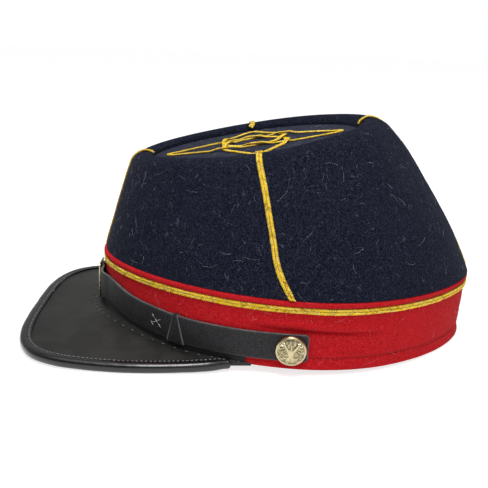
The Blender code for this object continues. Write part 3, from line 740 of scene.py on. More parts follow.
band = {
    "wall": 2.4, "top": 33.4, "edgeRound": 0.8, "curveRows": 5, "footRoll": 0.9, "columns": 360, "rows": 46,
    "slack": 0.28, "slackSize": 24.0, "ripple": 0.10, "rippleSize": 6.0,
    "stitchRing": 590.0, "stitchHeight": 6.2, "stitchPitch": 2.7, "stitchSize": (1.9, 0.6), "stitchSink": 0.8,
    "foldAngles": (74.0, 118.0), "foldHeights": (21.6, 19.2), "foldDepth": 2.6, "foldSwell": 2.1,
    "pipingWidth": 3.0, "pipingProud": 1.0, "cordRows": 21,
}


def bandLevel(height):
    proud = -band["pipingProud"]
    return between(foot, grown(welt, proud, proud, proud), height / welt.height)


def bandWave(angle, height):
    wave = slackAt(band, onOval(bandLevel(height), angle), 3.3, 6.1)
    wave -= band["stitchSink"] * bell(height - band["stitchHeight"], 0.75)
    wave = min(wave, 0.25) + band["footRoll"] * bell(height - 0.9, 2.1)
    start, end = band["foldAngles"]
    share = (fromFront(angle) - start) / (end - start)
    if 0.0 < share < 1.0:  # the cloth buckles above the strap's end
        first, last = band["foldHeights"]
        above = height - first - (last - first) * share
        ease = math.sin(math.pi * share) ** 0.7 * (1.1 - 0.75 * share)
        wave += ease * (band["foldSwell"] * bell(above - 3.2, 2.0) - band["foldDepth"] * bell(above, 1.2))
    return wave * min(1.0, (band["top"] - height) / 3 + 0.1)


def makeBand(red):
    top, rows, curve = band["top"], band["rows"], band["edgeRound"]
    turns = [math.pi / 2 * step / band["curveRows"] for step in range(band["curveRows"])]
    heights = [curve * (1 - math.cos(turn)) for turn in turns]
    heights += [curve + (top - curve) * step / rows for step in range(rows + 1)]
    outs = [-curve * (1 - math.sin(turn)) for turn in turns] + [0.0] * (rows + 1)
    section = [(bandLevel(height), out, 0.0) for height, out in zip(heights, outs)]
    section += [(bandLevel(height), -band["wall"], 0.0) for height in (top, 25.0, 16.0, 8.0, 0.5)]
    section += [(foot, 0.5 - band["wall"], 0.0)]

    def wave(row, angle):
        return bandWave(angle, heights[row]) if row < len(heights) else 0.0

    piece = hoop("wool_band", section, band["columns"], red, wave, (600.0, 72.0))
    return dress(piece, "red_wool", "band")


def makeBandStitches(thread):
    places, height = [], band["stitchHeight"]
    count = int(band["stitchRing"] / band["stitchPitch"])
    for index in range(count):
        angle = 360.0 * index / count
        point = bandPoint(angle, height, 0.02)
        forward = bandPoint(angle + 0.4, height) - bandPoint(angle - 0.4, height)
        outward = forward.cross(bandPoint(angle, height + 1) - bandPoint(angle, height - 1))
        forward.z += forward.length * random.uniform(-0.06, 0.06)
        places.append((point, forward, outward))
    return dress(stitchRow("band_stitches", places, band["stitchSize"], thread), "red_wool")


def bandPoint(angle, height, out=0.0):
    return onOval(bandLevel(height), angle, out + bandWave(angle, height))


def makePiping(red):
    low, high = band["top"] + gap, welt.height
    middle, half, deep = (low + high) / 2, (high - low) / 2, band["pipingWidth"]
    section = []
    for step in range(band["cordRows"]):  # a round cord that stands out of a flat seam
        turn = math.radians(-100 + 10 * step)
        height = middle + (half + 0.16) * math.sin(turn)
        section.append((welt._replace(height=height), 0.15 - half + half * math.cos(turn), 0.0))
    section += [(welt._replace(height=high - 0.3), -deep, 0.0), (welt._replace(height=low + 0.3), -deep, 0.0)]

    def wave(row, angle):
        if row >= band["cordRows"]:
            return 0.0
        point = onOval(welt, angle, 0.0, row * 0.3)
        return 0.10 * soft(point, 5.0, 8.0) + 0.12 * soft(point, 17.0, 2.0) - 0.06

    return dress(hoop("wool_piping", section, 420, red, wave, (600.0, 12.0)), "red_wool", "piping")


# Gold braid

braid = {
    "width": 3.0, "thick": 1.05, "pitch": 1.3, "step": 0.26, "slant": 0.9, "plait": 0.32, "ragged": 0.38,
    "off": 0.1, "columns": 15, "bandCentre": 31.9,
    "sideAngle": 82.3, "sideSweep": 2.7, "sweepShare": 0.3,
}


def layBraid(name, points, outwardAt, gold, closed=False, width=None, thick=None, level=None):
    # Two plaited ribs side by side with a groove between, lying just off what carries them. level is
    # the way the seam runs that its first end is cut along.
    width, thick, off = width or braid["width"], thick or braid["thick"], braid["off"]
    points = evenly(points, braid["step"], closed)
    count, columns = len(points), braid["columns"]
    length = braid["step"] * count
    pitch = length / round(length / braid["pitch"])
    rings, marks = [], []
    for index, point in enumerate(points):
        before = points[index - 1] if closed or index else point
        after = points[(index + 1) % count] if closed or index + 1 < count else point
        outward = outwardAt(point, index / count).normalized()
        sideways = (after - before).cross(outward).normalized()
        ring, mark = [], []
        run = braid["step"] * index
        if level and run < width:
            sideways = level.lerp(sideways, run / width)
        wander = 0.16 * noise.noise(point / 14.0)
        for column in range(columns):
            across = -1 + 2 * column / (columns - 1)
            rib = math.sqrt(max(0.0, 1 - ((abs(across) - 0.5) / 0.5) ** 2))
            offset = braid["slant"] * abs(across) * width / 2 + (0.5 * pitch if across > 0 else 0.0)
            turn = (run + offset) / pitch
            lump = abs(math.sin(math.pi * turn)) ** 0.8
            fate = noise.noise(Vector((math.floor(turn) * 7.3, 3.0 if across > 0 else -3.0, 3.7)))
            lump *= 0.85 + 0.5 * fate
            out = off + thick * (0.55 + 0.45 * rib) + braid["plait"] * (lump - 0.7) * (0.35 + 0.65 * rib)
            aside = across * width / 2
            aside += math.copysign(braid["ragged"] * (lump - 0.5) * abs(across) ** 3, across)
            ring.append(point + sideways * (aside + wander) + outward * out)
            # painted shade: the mark follows the height of the plaits and ribs, so the grooves are painted
            # darker; fate gives each plait its own tone
            mark.append(held((lump + 0.4 * fate) * (0.2 + 0.9 * rib)))
        for across in (0.94, 0.0, -0.94):
            ring.append(point + sideways * (across * width / 2 + wander) + outward * off)
            mark.append(0.0)
        rings.append(ring)
        marks.append(mark)
    share = (columns + 3) / (columns - 1)
    # The grid runs once round the ribbon, so its first columns lie on top: the map is centred on them.
    piece = loft(name, rings, gold, closed, marks, (width * share, length), sharp=80.0)
    for corner in piece.data.uv_layers["UVMap"].data:
        corner.uv.x -= width / 2
    return dress(piece, "gold_braid")


def makeBandBraid(gold):
    points = [bandPoint(0.5 * step, braid["bandCentre"]) for step in range(720)]

    def outward(point, share):
        return Vector((point.x / welt.halfWidth ** 2, point.y / welt.front ** 2, 0.0))

    piece = layBraid("gold_band_braid", points, outward, gold, closed=True)
    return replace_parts(piece, "band_braid")


def sideAngle(share):
    low = max(0.0, 1 - share / braid["sweepShare"])
    return braid["sideAngle"] + braid["sideSweep"] * low * low


def makeCrownBraid(name, node, angleAt, gold):
    # Up the side of the crown, over the rim and down towards the sunk top.
    rows = crownRows()[:len(crownShares()) + slackRows + 1]
    points, arounds = [], []
    for level, share, fade in rows:
        angle = angleAt(share)
        slack, sag = fade * crownSlack(level, angle, share), fade * rimSag(angle, share)
        points.append(onOval(level, angle, slack, sag))
        arounds.append(onOval(level, angle + 1) - onOval(level, angle - 1))
    normals = [around.cross(heading(points, index)).normalized() for index, around in enumerate(arounds)]
    tree = nearTree(points)

    def outward(point, share):
        total = Vector()
        for place, index, distance in tree.find_n(point, 3):
            total += normals[index] / (distance + 0.05)
        return total

    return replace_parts(layBraid(name, points, outward, gold, level=arounds[0].normalized()), node)


# The knot on the sunk top

KnotRow = namedtuple("KnotRow", "angle radius")
knot = {
    "centre": -26.4, "reach": 48.8, "narrow": 0.94, "bend": 4.0, "loops": 4, "turn": 270.0,
    "lift": 1.2, "flat": 2.8, "ramp": 7.0, "width": 2.5, "thick": 0.9, "drawn": 2160, "coarse": 3.6,
    # how far the strand lies from the knot's centre, by the angle from the tip of a loop
    "rows": [KnotRow(*row) for row in (
        (0, 48.8), (4.3, 46.8), (8, 42.5), (11.7, 39.3), (20, 33.5), (29.3, 29.6), (40, 25.8), (52, 22.3),
        (66, 19.3), (79, 17.2), (107, 14.8), (135, 14.2))],
}


def knotPoint(wound):
    # Seen from above, after winding this many degrees round the centre.
    half = knot["turn"] / 2
    radius = along(knot["rows"], "radius", (wound + half) % knot["turn"] - half)
    turn = math.radians(wound)
    ahead = radius * math.cos(turn)
    aside = knot["bend"] * (ahead / knot["reach"]) ** 2  # its long loops bend to the wearer's left
    return Vector((knot["narrow"] * radius * math.sin(turn) + aside, knot["centre"] - ahead, 0.0))


def knotPasses(points):
    # Where the strand crosses itself, as places along it, in order: over and under in turn.
    count, passes = len(points), []
    for first in range(count):
        for second in range(first + 2, count):
            if (second + 1) % count == first:
                continue
            a, b = points[first], points[(first + 1) % count]
            c, d = points[second], points[(second + 1) % count]
            run, other, start = b - a, d - c, c - a
            area = run.x * other.y - run.y * other.x
            if abs(area) < 1e-9:
                continue
            share = (start.x * other.y - start.y * other.x) / area
            across = (start.x * run.y - start.y * run.x) / area
            if 0 <= share < 1 and 0 <= across < 1:
                passes += [first + share, second + across]
    return sorted(passes)


def makeKnot(gold):
    whole, drawn = knot["turn"] * knot["loops"], knot["drawn"]
    strand = [knotPoint(whole * step / drawn) for step in range(drawn)]
    coarse, points = evenly(strand, knot["coarse"], True), evenly(strand, 0.5, True)
    count, overs = len(coarse), knotPasses(coarse)[0::2]
    middle = (disc.front + disc.back) / 2
    for index, point in enumerate(points):
        place = count * index / len(points)
        apart = min(min(abs(place - over), count - abs(place - over)) for over in overs) * knot["coarse"]
        lift = knot["lift"] * smooth(1 - (apart - knot["flat"]) / knot["ramp"])
        share = math.hypot(point.x / disc.halfWidth, (point.y - middle) / (disc.back - middle))
        point.z = disc.height + disc.slope * point.y + topSag(point, min(share, 1.0)) + lift
    piece = layBraid("gold_knot", points, lambda point, share: topNormal, gold, True,
                     knot["width"], knot["thick"])
    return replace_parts(piece, "top_knot")


# The peak and its rolled binding

FrontRow = namedtuple("FrontRow", "angle strap fold lip")
EdgeRow = namedtuple("EdgeRow", "x y top")
StitchRow = namedtuple("StitchRow", "angle out")  # how far from the fold the stitches lie
peak = {
    "thick": 1.8, "lipThick": 1.1, "tail": 74.0, "tabShare": 20 / 23, "hollow": 0.4, "rows": 150,
    "columns": 34, "foldRound": 0.7, "foldShade": 3.0,
    "stitchPitch": 7.2, "stitchSize": (1.7, 0.5), "sink": 0.45,
    "stitchRows": [StitchRow(*row) for row in ((0, 6.5), (28, 5.2), (38, 3.1), (53, 1.2), (74, 0.9))],
    # angle, and the heights of the strap's middle, of the fold at the band and of the lip's top
    "front": [FrontRow(*row) for row in (
        (0, 16.8, 4.1, 4.9), (7, 16.9, 4.2, 8.3), (22, 16.8, 5.8, 9.1), (35, 13.8, 4.2, 6.2),
        (45, 12.5, 2.4, 4.9), (56, 11.4, 0.9, 3.8), (70, 11.4, 1.3, 3.8), (90, 12.0, 1.3, 4.0))],
    # the outer edge from the tip to the tail, with the height of the binding's top
    "edge": [EdgeRow(*row) for row in (
        (0.0, -151.8, -2.3), (24.4, -151.6, -2.3), (46.7, -150.0, -2.4), (65.0, -145.6, -2.5),
        (78.6, -137.0, -2.2), (86.8, -124.0, -1.9), (90.7, -108.2, -1.7), (92.4, -91.0, -1.4),
        (92.5, -74.0, -0.8), (91.6, -58.0, 0.2), (89.8, -45.0, 1.1), (87.3, -36.0, 1.8))],
    "tabEnd": EdgeRow(86.2, -24.5, 1.4),
}
binding = {
    "width": 6.6, "thick": 5.2, "slot": 4.6, "ease": 0.3, "tail": 0.9, "narrow": 0.4, "rows": 210,
    "stitchIn": 1.25, "stitchPitch": 2.3, "stitchSize": (1.6, 0.5),
}


def edgePoint(share):
    edge = peak["edge"]
    rows = [edge[1]._replace(x=-edge[1].x)] + edge + [peak["tabEnd"]]
    place = share * (len(edge) - 1)
    index = min(int(place), len(edge) - 2)
    return hermite(*(Vector(row) for row in rows[index:index + 4]), place - index)


def peakRoot(angle, column="fold", out=gap):
    height = along(peak["front"], column, angle)
    root = onOval(bandLevel(max(height, 0.0)), angle, out)
    root.z = height
    return root


def edgeInset():
    return (binding["thick"] - peak["thick"]) / 2


def edgeFrame(share):
    point, step = edgePoint(share), 0.01
    forward = edgePoint(min(share + step, 1.0)) - edgePoint(max(share - step, 0.0))
    level = Vector((forward.y, -forward.x, 0.0)).normalized()
    inner = peakRoot(peak["tail"] * peak["tabShare"] * share)
    fall = (inner.z - point.z + edgeInset()) / (point - inner).dot(level)
    outward = (level - upright * fall).normalized()
    upward = (level * fall + upright).normalized()
    return point, outward, upward


def peakEnds(share):
    # Where the top of the leather starts at the band and where it ends in the binding.
    start = peakRoot(peak["tail"] * share, "fold", gap + peak["lipThick"])
    point, outward, upward = edgeFrame(min(share / peak["tabShare"], 1.0))
    end = point - outward * (binding["width"] - binding["slot"]) - upward * edgeInset()
    if share > peak["tabShare"]:
        end = end.lerp(Vector(peak["tabEnd"]), (share - peak["tabShare"]) / (1 - peak["tabShare"]))
    return start, end


def peakTop(share, reach):
    start, end = peakEnds(share)
    point = start.lerp(end, reach)
    point.z -= peak["hollow"] * math.sin(math.pi * reach) ** 2 * (1 - share)
    return point


def mirrored(point, side):
    return Vector((point.x * side, point.y, point.z))


def bothSides(rows):
    # Rows from the right tail round the front to the left one: the share of the way to a tail, and the side.
    return [(abs(row) / rows, -1 if row < 0 else 1) for row in range(-rows, rows + 1)]


def peakStitchPlaces():
    # An even row just outside the fold.
    line = []
    for share, side in bothSides(220):
        share *= 0.97
        start, end = peakEnds(share)
        out = along(peak["stitchRows"], "out", peak["tail"] * share)
        reach = min(out / max((end - start).length, 1.0), 0.6)
        line.append(mirrored(peakTop(share, reach), side))
    return stitchPlaces(line, peak["stitchPitch"])


def makePeak(leather, thread):
    places = peakStitchPlaces()
    tree = nearTree([place[0] for place in places])
    rings, marks = [], []
    for share, side in bothSides(peak["rows"]):
        angle = peak["tail"] * share
        lip = peakRoot(angle, "lip", gap + peak["lipThick"])
        fold, end = peakEnds(share)
        room = min(peak["foldRound"], 0.8 * (lip - fold).length, 0.4 * (end - fold).length)
        above, beyond = fold + (lip - fold).normalized() * room, fold + (end - fold).normalized() * room
        row = [peakRoot(angle, "lip"), lip.lerp(peakRoot(angle, "lip"), 0.3) + upright * 0.15, lip]
        for turn in (step / 6 for step in range(7)):
            row.append(above * (1 - turn) ** 2 + fold * (2 * turn * (1 - turn)) + beyond * turn ** 2)
        first = room / max((end - fold).length, 1e-6)
        tops = [first + (1 - first) * step / peak["columns"] for step in range(1, peak["columns"] + 1)]
        row += [peakTop(share, reach) for reach in tops]
        row = [mirrored(point, side) for point in row]
        for number in range(3, len(row)):  # dimples at the stitches and a soft unevenness
            point = row[number]
            place, found, distance = tree.find(point)
            reach = max(0.0, (number - 9) / (len(row) - 10))
            calm = min(1.0, 6 * (1 - reach))
            drop = peak["sink"] * bell(distance, 1.5) + 0.10 * bell(distance, 4.0)
            swell = 0.16 * soft(point, 17.0, 1.1) + 0.10 * soft(point, 6.5, 5.3) * (1 - reach)
            point.z += (swell - drop) * calm
        under = [peakTop(share, reach) for reach in (1.0, 0.75, 0.5, 0.25)] + [peakRoot(angle)]
        rings.append(row + [mirrored(point, side) - upright * peak["thick"] for point in under])
        # painted shade: the lip and the fold lie in shade and are painted blacker and duller than the rest
        paintedFoldShade = [max(0.0, 1 - (point - row[9]).length / peak["foldShade"]) for point in row[10:]]
        marks.append([1.0] * 10 + paintedFoldShade + [0.0] * len(under))
    piece = loft("leather_peak", rings, leather, marks=marks, uvSize=(120.0, 300.0))
    dress(piece, "black_leather", "peak")
    sunk = lifted(places, -0.75 * peak["sink"])
    dress(stitchRow("peak_stitches", sunk, peak["stitchSize"], thread), "black_leather")


def bindingWidth(share):
    tail = max(0.0, (share - binding["tail"]) / (1 - binding["tail"]))
    return binding["width"] * (1 - binding["narrow"] * tail * tail)


def bindingSection(share):
    # The rolled outside and the slot for the leather, as (inward, up) from the middle of the edge.
    slot = peak["thick"] / 2 + gap + binding["ease"]
    half, deep = binding["thick"] / 2, binding["width"] - binding["slot"] - 2 * gap
    width = bindingWidth(share)
    upper = [(width, slot + 0.45), (width * 0.86, half * 0.86), (width * 0.62, half * 0.95), (2.6, half),
             (1.0, half * 0.86), (0.2, half * 0.45), (0.0, 0.0)]
    knots = [Vector(point) for point in upper + [(inward, -up) for inward, up in reversed(upper[:-1])]]
    rows, found = knots[:1] + knots + knots[-1:], []
    for index in range(len(knots) - 1):
        found += [hermite(*rows[index:index + 4], step / 4) for step in range(4)]
    inner = [(width, -slot), (deep, -slot), (deep, slot), (width, slot)]
    return found + [knots[-1]], [Vector(point) for point in inner]


def bindingSpot(frame, side, inward, up):
    point, outward, upward = frame
    return mirrored(point - outward * inward + upward * (up - binding["thick"] / 2), side)


def bindingStitchPlaces():
    line = []
    for share, side in bothSides(240):
        share *= 0.985
        inward = bindingWidth(share) - binding["stitchIn"]
        line.append(bindingSpot(edgeFrame(share), side, inward, binding["thick"] / 2 * 0.80))
    return stitchPlaces(line, binding["stitchPitch"])


def makeBinding(patent, thread):
    places = bindingStitchPlaces()
    tree = nearTree([place[0] for place in places])
    rings = []
    for share, side in bothSides(binding["rows"]):
        frame = edgeFrame(share)
        outer, inner = bindingSection(share)
        middle, ring = bindingSpot(frame, side, 3.0, 0.0), []
        for inward, up in outer:
            spot = bindingSpot(frame, side, inward, up)
            place, found, distance = tree.find(spot)
            drop = 0.42 * bell(distance, 0.9) + 0.10 * bell(distance, 2.2)
            swell = 0.10 * soft(spot, 12.0, 2.2) + 0.05 * soft(spot, 4.0, 3.0)
            ring.append(spot + (spot - middle).normalized() * (swell - drop))
        rings.append(ring + [bindingSpot(frame, side, inward, up) for inward, up in inner])
    for end in (0, -1):  # close each tail roundly towards its slot
        base = [point.copy() for point in rings[end]]
        step = (base[0] - rings[1 if end == 0 else -2][0]).normalized()
        hub = sum(base[-4:], Vector()) / 4
        for turn in (math.radians(angle) for angle in (25, 50, 72)):
            ring = [hub + (point - hub) * (0.45 + 0.55 * math.cos(turn)) for point in base[:-4]] + base[-4:]
            ring = [point + step * 1.6 * math.sin(turn) for point in ring]
            rings = [ring] + rings if end == 0 else rings + [ring]
    dress(loft("leather_binding", rings, patent, uvSize=(20.0, 430.0)), "binding_leather", "peak_binding")
    stitches = stitchRow("binding_stitches", lifted(places, 0.10), binding["stitchSize"], thread)
    dress(stitches, "binding_leather")


# The chin strap, its keeper loop, its slide and the buttons

strap = {
    "height": 14.6, "thick": 1.5, "bevel": 0.42, "end": 90.0, "round": 1.9,
    "clear": 1.1, "flat": 10.0, "ease": 27.0, "step": 0.6, "closeRows": 1.3, "radius": 92.0,
    "slack": 0.10, "slackSize": 15.0, "ripple": 0.04, "rippleSize": 5.0, "holeDepth": 9.0,
}
button = {
    "angle": 85.6, "height": 11.3, "radius": 7.9, "edge": 1.9, "dome": 2.0, "shankRadius": 1.6,
    "shankLength": 2.0, "columns": 120, "rows": 60, "relief": 0.55, "birdSize": 1.07, "rim": 1.1,
}
keeper = {
    "angle": 53.5, "width": 5.9, "slant": 3.6, "slantHeight": 15.0, "thick": 0.75, "clear": 0.25, "steps": 14,
    "corner": 0.7, "edgeTone": 0.75, "stitchSize": (2.7, 0.34), "stitchLift": 0.12,
    "degree": 1.6,  # millimetres along the strap
    # angle, height over the strap's middle, tilt
    "stitches": ((45.4, 2.4, 52), (46.6, 0.3, 52), (47.8, -1.8, 52), (47.6, 1.2, -22), (45.8, -0.8, -22),
                 (44.9, -2.0, 48)),
}
slide = {
    "width": 17.0, "height": 21.0, "centre": 15.6, "frontWall": 0.7, "backWall": 0.5, "clear": 0.85,
    "lean": -0.023, "corner": 1.6, "border": 1.8, "step": 0.3, "sunk": 0.25,
    "rimRound": 0.14, "loopWidth": 5.0,
}


def strapPlace(angle, height, out=0.0):
    level = bandLevel(height)
    point = onOval(level, angle, gap + out)
    share = (abs(point.x) - strap["flat"]) / (strap["ease"] - strap["flat"])
    straight = level.front - strap["clear"] - out
    if share < 1.0 and straight < point.y < 0.0:
        point.y = straight + (point.y - straight) * smooth(share)
    return point


def strapSection():
    # Corners as (up, out, tone): the back, then the rounded cut edges and the face.
    half, thick, bevel = strap["height"] / 2, strap["thick"], strap["bevel"]
    lower = [(-half + 0.1, 0.0, 0.6), (-half, 0.25, 0.9), (-half, thick - bevel, 1.0)]
    for step in (1, 2, 3):
        turn = math.pi / 2 * step / 3
        up, out = bevel * (1 - math.cos(turn)) - half, thick - bevel + bevel * math.sin(turn)
        lower.append((up, out, 1.0 - step * 0.3))
    face = [(-half + bevel + (2 * half - 2 * bevel) * step / 12, thick, 0.0) for step in range(1, 12)]
    return lower + face + [(-up, out, tone) for up, out, tone in reversed(lower)]


def strapAngles():
    # Even rows, and closer ones where the ends are rounded.
    end, close = strap["end"], strap["closeRows"]
    count = int(2 * (end - close) / strap["step"])
    even = [-end + close + (2 * end - 2 * close) * number / count for number in range(count + 1)]
    near = [end - 1.25 * (1 - math.sin(math.pi / 2 * number / 6)) for number in range(1, 7)]
    return [-angle for angle in reversed(near)] + even + near


def makeStrap(leather):
    curve, rings, marks = strap["round"], [], []
    for angle in strapAngles():
        distance = (strap["end"] - abs(angle)) * math.radians(1) * strap["radius"]
        narrow = curve - math.sqrt(max(0.0, curve ** 2 - max(0.0, curve - distance) ** 2))
        middle, ring, mark = along(peak["front"], "strap", angle), [], []
        for up, out, tone in strapSection():
            up = math.copysign(abs(up) - narrow, up) if abs(up) > 4 else up
            spot = strapPlace(angle, middle + up, out)
            wave = slackAt(strap, spot, 4.4, 1.4) if out > 0.9 else 0.0
            ring.append(strapPlace(angle, middle + up, out + wave))
            # the cut edges and rounded ends take the lighter cut tone, partly a painted highlight
            mark.append(max(tone, bell(distance, 0.35)) * (0.75 + 0.4 * noise.noise(spot / 3.0)))
        rings.append(ring)
        marks.append(mark)
    piece = loft("leather_strap", rings, leather, marks=marks, uvSize=(34.0, 290.0))
    radius = button["shankRadius"] + gap
    for side in (1, -1):  # a hole for each button's shank
        shape = bmesh.new()
        bmesh.ops.create_cone(shape, cap_ends=True, segments=24, radius1=radius, radius2=radius,
                              depth=strap["holeDepth"])
        shape.transform(buttonTurn(side))
        shape.transform(seat)
        cutter = putObject("shank_cut", meshFrom("shank_cut", shape))
        cut = piece.modifiers.new("Shank hole", "BOOLEAN")
        cut.object, cut.operation, cut.solver = cutter, "DIFFERENCE", "EXACT"
        drilled = settledMesh(piece)
        piece.modifiers.clear()
        piece.data = drilled
        bpy.data.objects.remove(cutter)
    dress(piece, "black_leather", "chin_strap")


def keeperSection(thick):
    # Round the strap from its lower edge to its upper one as (up, out), and back along the inside.
    half, low = strap["height"] / 2 + keeper["clear"], strap["thick"] + keeper["clear"]
    closing = keeper["thick"] - thick
    lower = [(closing - half - keeper["thick"], out) for out in (0.0, low)]
    lower += [(closing - half - keeper["thick"] * math.cos(turn), low + thick * math.sin(turn))
              for turn in (0.4, 0.8, 1.2)]
    face = [(number / 4 * (half - 0.2), low + thick) for number in range(-4, 5)]
    inner = [(half, 0.0), (half, low), (-half, low), (-half, 0.0)]
    return lower + face + [(-up, out) for up, out in reversed(lower)] + inner


def makeKeeper(leather, thread):
    # A leather loop round the strap, wider at its foot, and the stitches beside it.
    rings, marks, face = [], [], strap["thick"]
    for number in range(keeper["steps"] + 1):
        share = 2 * number / keeper["steps"] - 1
        closing = keeper["corner"] * max(0.0, abs(share) - 0.86) / 0.14
        ring = []
        for up, out in keeperSection(keeper["thick"] * (1 - closing)):
            half = keeper["width"] / 2 - up * keeper["slant"] / keeper["slantHeight"]
            angle = keeper["angle"] + share * half / keeper["degree"]
            ring.append(strapPlace(angle, along(peak["front"], "strap", angle) + up, out))
        rings.append(ring)
        marks.append([keeper["edgeTone"] if share < -0.8 or share > 0.99 else 0.0] * len(ring))
    dress(loft("leather_keeper", rings, leather, marks=marks, uvSize=(34.0, 7.0)), "black_leather")
    places = []
    for angle, up, tilt in keeper["stitches"]:
        height, tilt = along(peak["front"], "strap", angle) + up, math.radians(tilt)
        forward = strapPlace(angle + 0.5, height, face) - strapPlace(angle - 0.5, height, face)
        upward = strapPlace(angle, height + 0.5, face) - strapPlace(angle, height - 0.5, face)
        forward.normalize()
        upward.normalize()
        point = strapPlace(angle, height, face + keeper["stitchLift"])
        places.append((point, forward * math.cos(tilt) - upward * math.sin(tilt), forward.cross(upward)))
    dress(stitchRow("keeper_stitches", places, keeper["stitchSize"], thread), "black_leather")


def buttonTurn(side):
    # From the button's own place to the strap: its face looks out and its bird stands upright.
    def place(angle, height):
        return strapPlace(side * angle, height, strap["thick"] + gap)

    angle, height = button["angle"], button["height"]
    middle = place(angle, height)
    backward = place(angle + 0.5, height) - place(angle - 0.5, height)
    upward = (place(angle, height + 0.5) - middle).normalized()
    outward = backward.cross(upward).normalized() * side
    return Matrix.Translation(middle) @ framed(upward.cross(outward), upward, outward)


def featherList():
    # The raised bird as rounded strokes (x, y, x, y, half width, height), its right half first.
    strokes = []
    for number in range(8):
        share = number / 7
        root = Vector((0.8 + 2.3 * (1 - share) ** 1.2, 0.3 + 3.4 * (1 - share)))
        turn = math.radians(38 - 112 * share)
        tip = root + Vector((math.cos(turn), math.sin(turn))) * (2.1 + 1.1 * math.sin(math.pi * share))
        strokes.append((root.x, root.y, tip.x, tip.y, 0.34, 0.8))
    strokes += [(0.7, 0.6, 3.2, 4.1, 0.42, 1.0), (0.9, 0.1, 2.7, 2.4, 0.5, 0.7)]
    for number in range(3):  # tail
        strokes.append((0.25 + 0.2 * number, -1.8, 0.4 + 0.75 * number, -4.5 + 0.25 * number, 0.36, 0.75))
    strokes.append((0.7, -1.9, 1.9, -2.9, 0.26, 0.8))
    for number in range(5):  # a leafy sprig under each wing
        x, y = 2.0 + 0.62 * number, -3.0 - 0.35 * math.sin(number) + 0.28 * number
        strokes += [(x, y, x + 0.5, y + 0.75, 0.24, 0.6), (x, y, x + 0.75, y - 0.35, 0.24, 0.6)]
    strokes += [(-x1, y1, -x2, y2, wide, high) for x1, y1, x2, y2, wide, high in strokes]
    body, head = (0.0, 0.9, 0.0, -1.3, 1.05, 1.2), (0.0, 1.6, 0.15, 2.75, 0.5, 1.15)
    return strokes + [body, head, (0.15, 2.8, 0.85, 2.65, 0.22, 1.0)]


def reliefAt(x, y, strokes):
    best = 0.0
    for x1, y1, x2, y2, wide, high in strokes:
        run, rise = x2 - x1, y2 - y1
        share = held(((x - x1) * run + (y - y1) * rise) / (run * run + rise * rise))
        away = math.hypot(x - x1 - share * run, y - y1 - share * rise) / wide
        if away < 1.0:
            best = max(best, high * math.sqrt(1 - away * away))
    return best


def makeButton(name, node, side, brass):
    radius, columns, size = button["radius"], button["columns"], button["birdSize"]
    field, strokes = radius - button["rim"], featherList()
    profile = [(button["shankRadius"], -button["shankLength"]), (button["shankRadius"], 0.0)]
    profile += [(radius - inward, height) for inward, height in (
        (1.4, 0.0), (0.5, 0.25), (0.1, 0.65), (0.0, 1.1), (0.02, 1.45), (0.12, 1.75))]
    profile += [((radius - 0.25) * (1 - step / button["rows"]), None) for step in range(button["rows"] + 1)]
    turn, rings, marks = buttonTurn(side), [], []
    for reach, height in profile:
        ring, mark = [], []
        for column in range(columns):
            angle = 2 * math.pi * column / columns
            x, y = reach * math.cos(angle), reach * math.sin(angle)
            tone, up = 0.85, height
            if height is None:  # the domed face
                bump = reliefAt(x / size, y / size, strokes) if reach < field else 0.0
                ringDip = bell(reach - field - 0.1, 0.16)
                grain = 0.02 * noise.noise(Vector((x * 3, y * 3, side)))
                up = (button["edge"] + button["dome"] * math.sqrt(max(0.0, 1 - (reach / radius) ** 2))
                      + button["relief"] * bump - 0.08 * ringDip + grain - (0.06 if reach < field else 0.0))
                spot = Vector((x, y, side))
                tarnish = noise.noise(spot * 0.9) + 0.5 * noise.noise(spot * 3)
                tone = 0.95 - 0.45 * ringDip
                if bump > 0.0:  # dirt lies along the edge of the relief
                    tone = min(1.0, 1.2 * bump) + 0.15 * tarnish
                elif reach < field:
                    tone = 0.42 + 0.40 * tarnish
            ring.append(turn @ Vector((x, y, up)))
            mark.append(held(tone))
        rings.append(ring)
        marks.append(mark)
    rings[-1] = [rings[-1][0]] * columns
    return dress(loft(name, rings, brass, marks=marks, sharp=60.0), "brass", node)


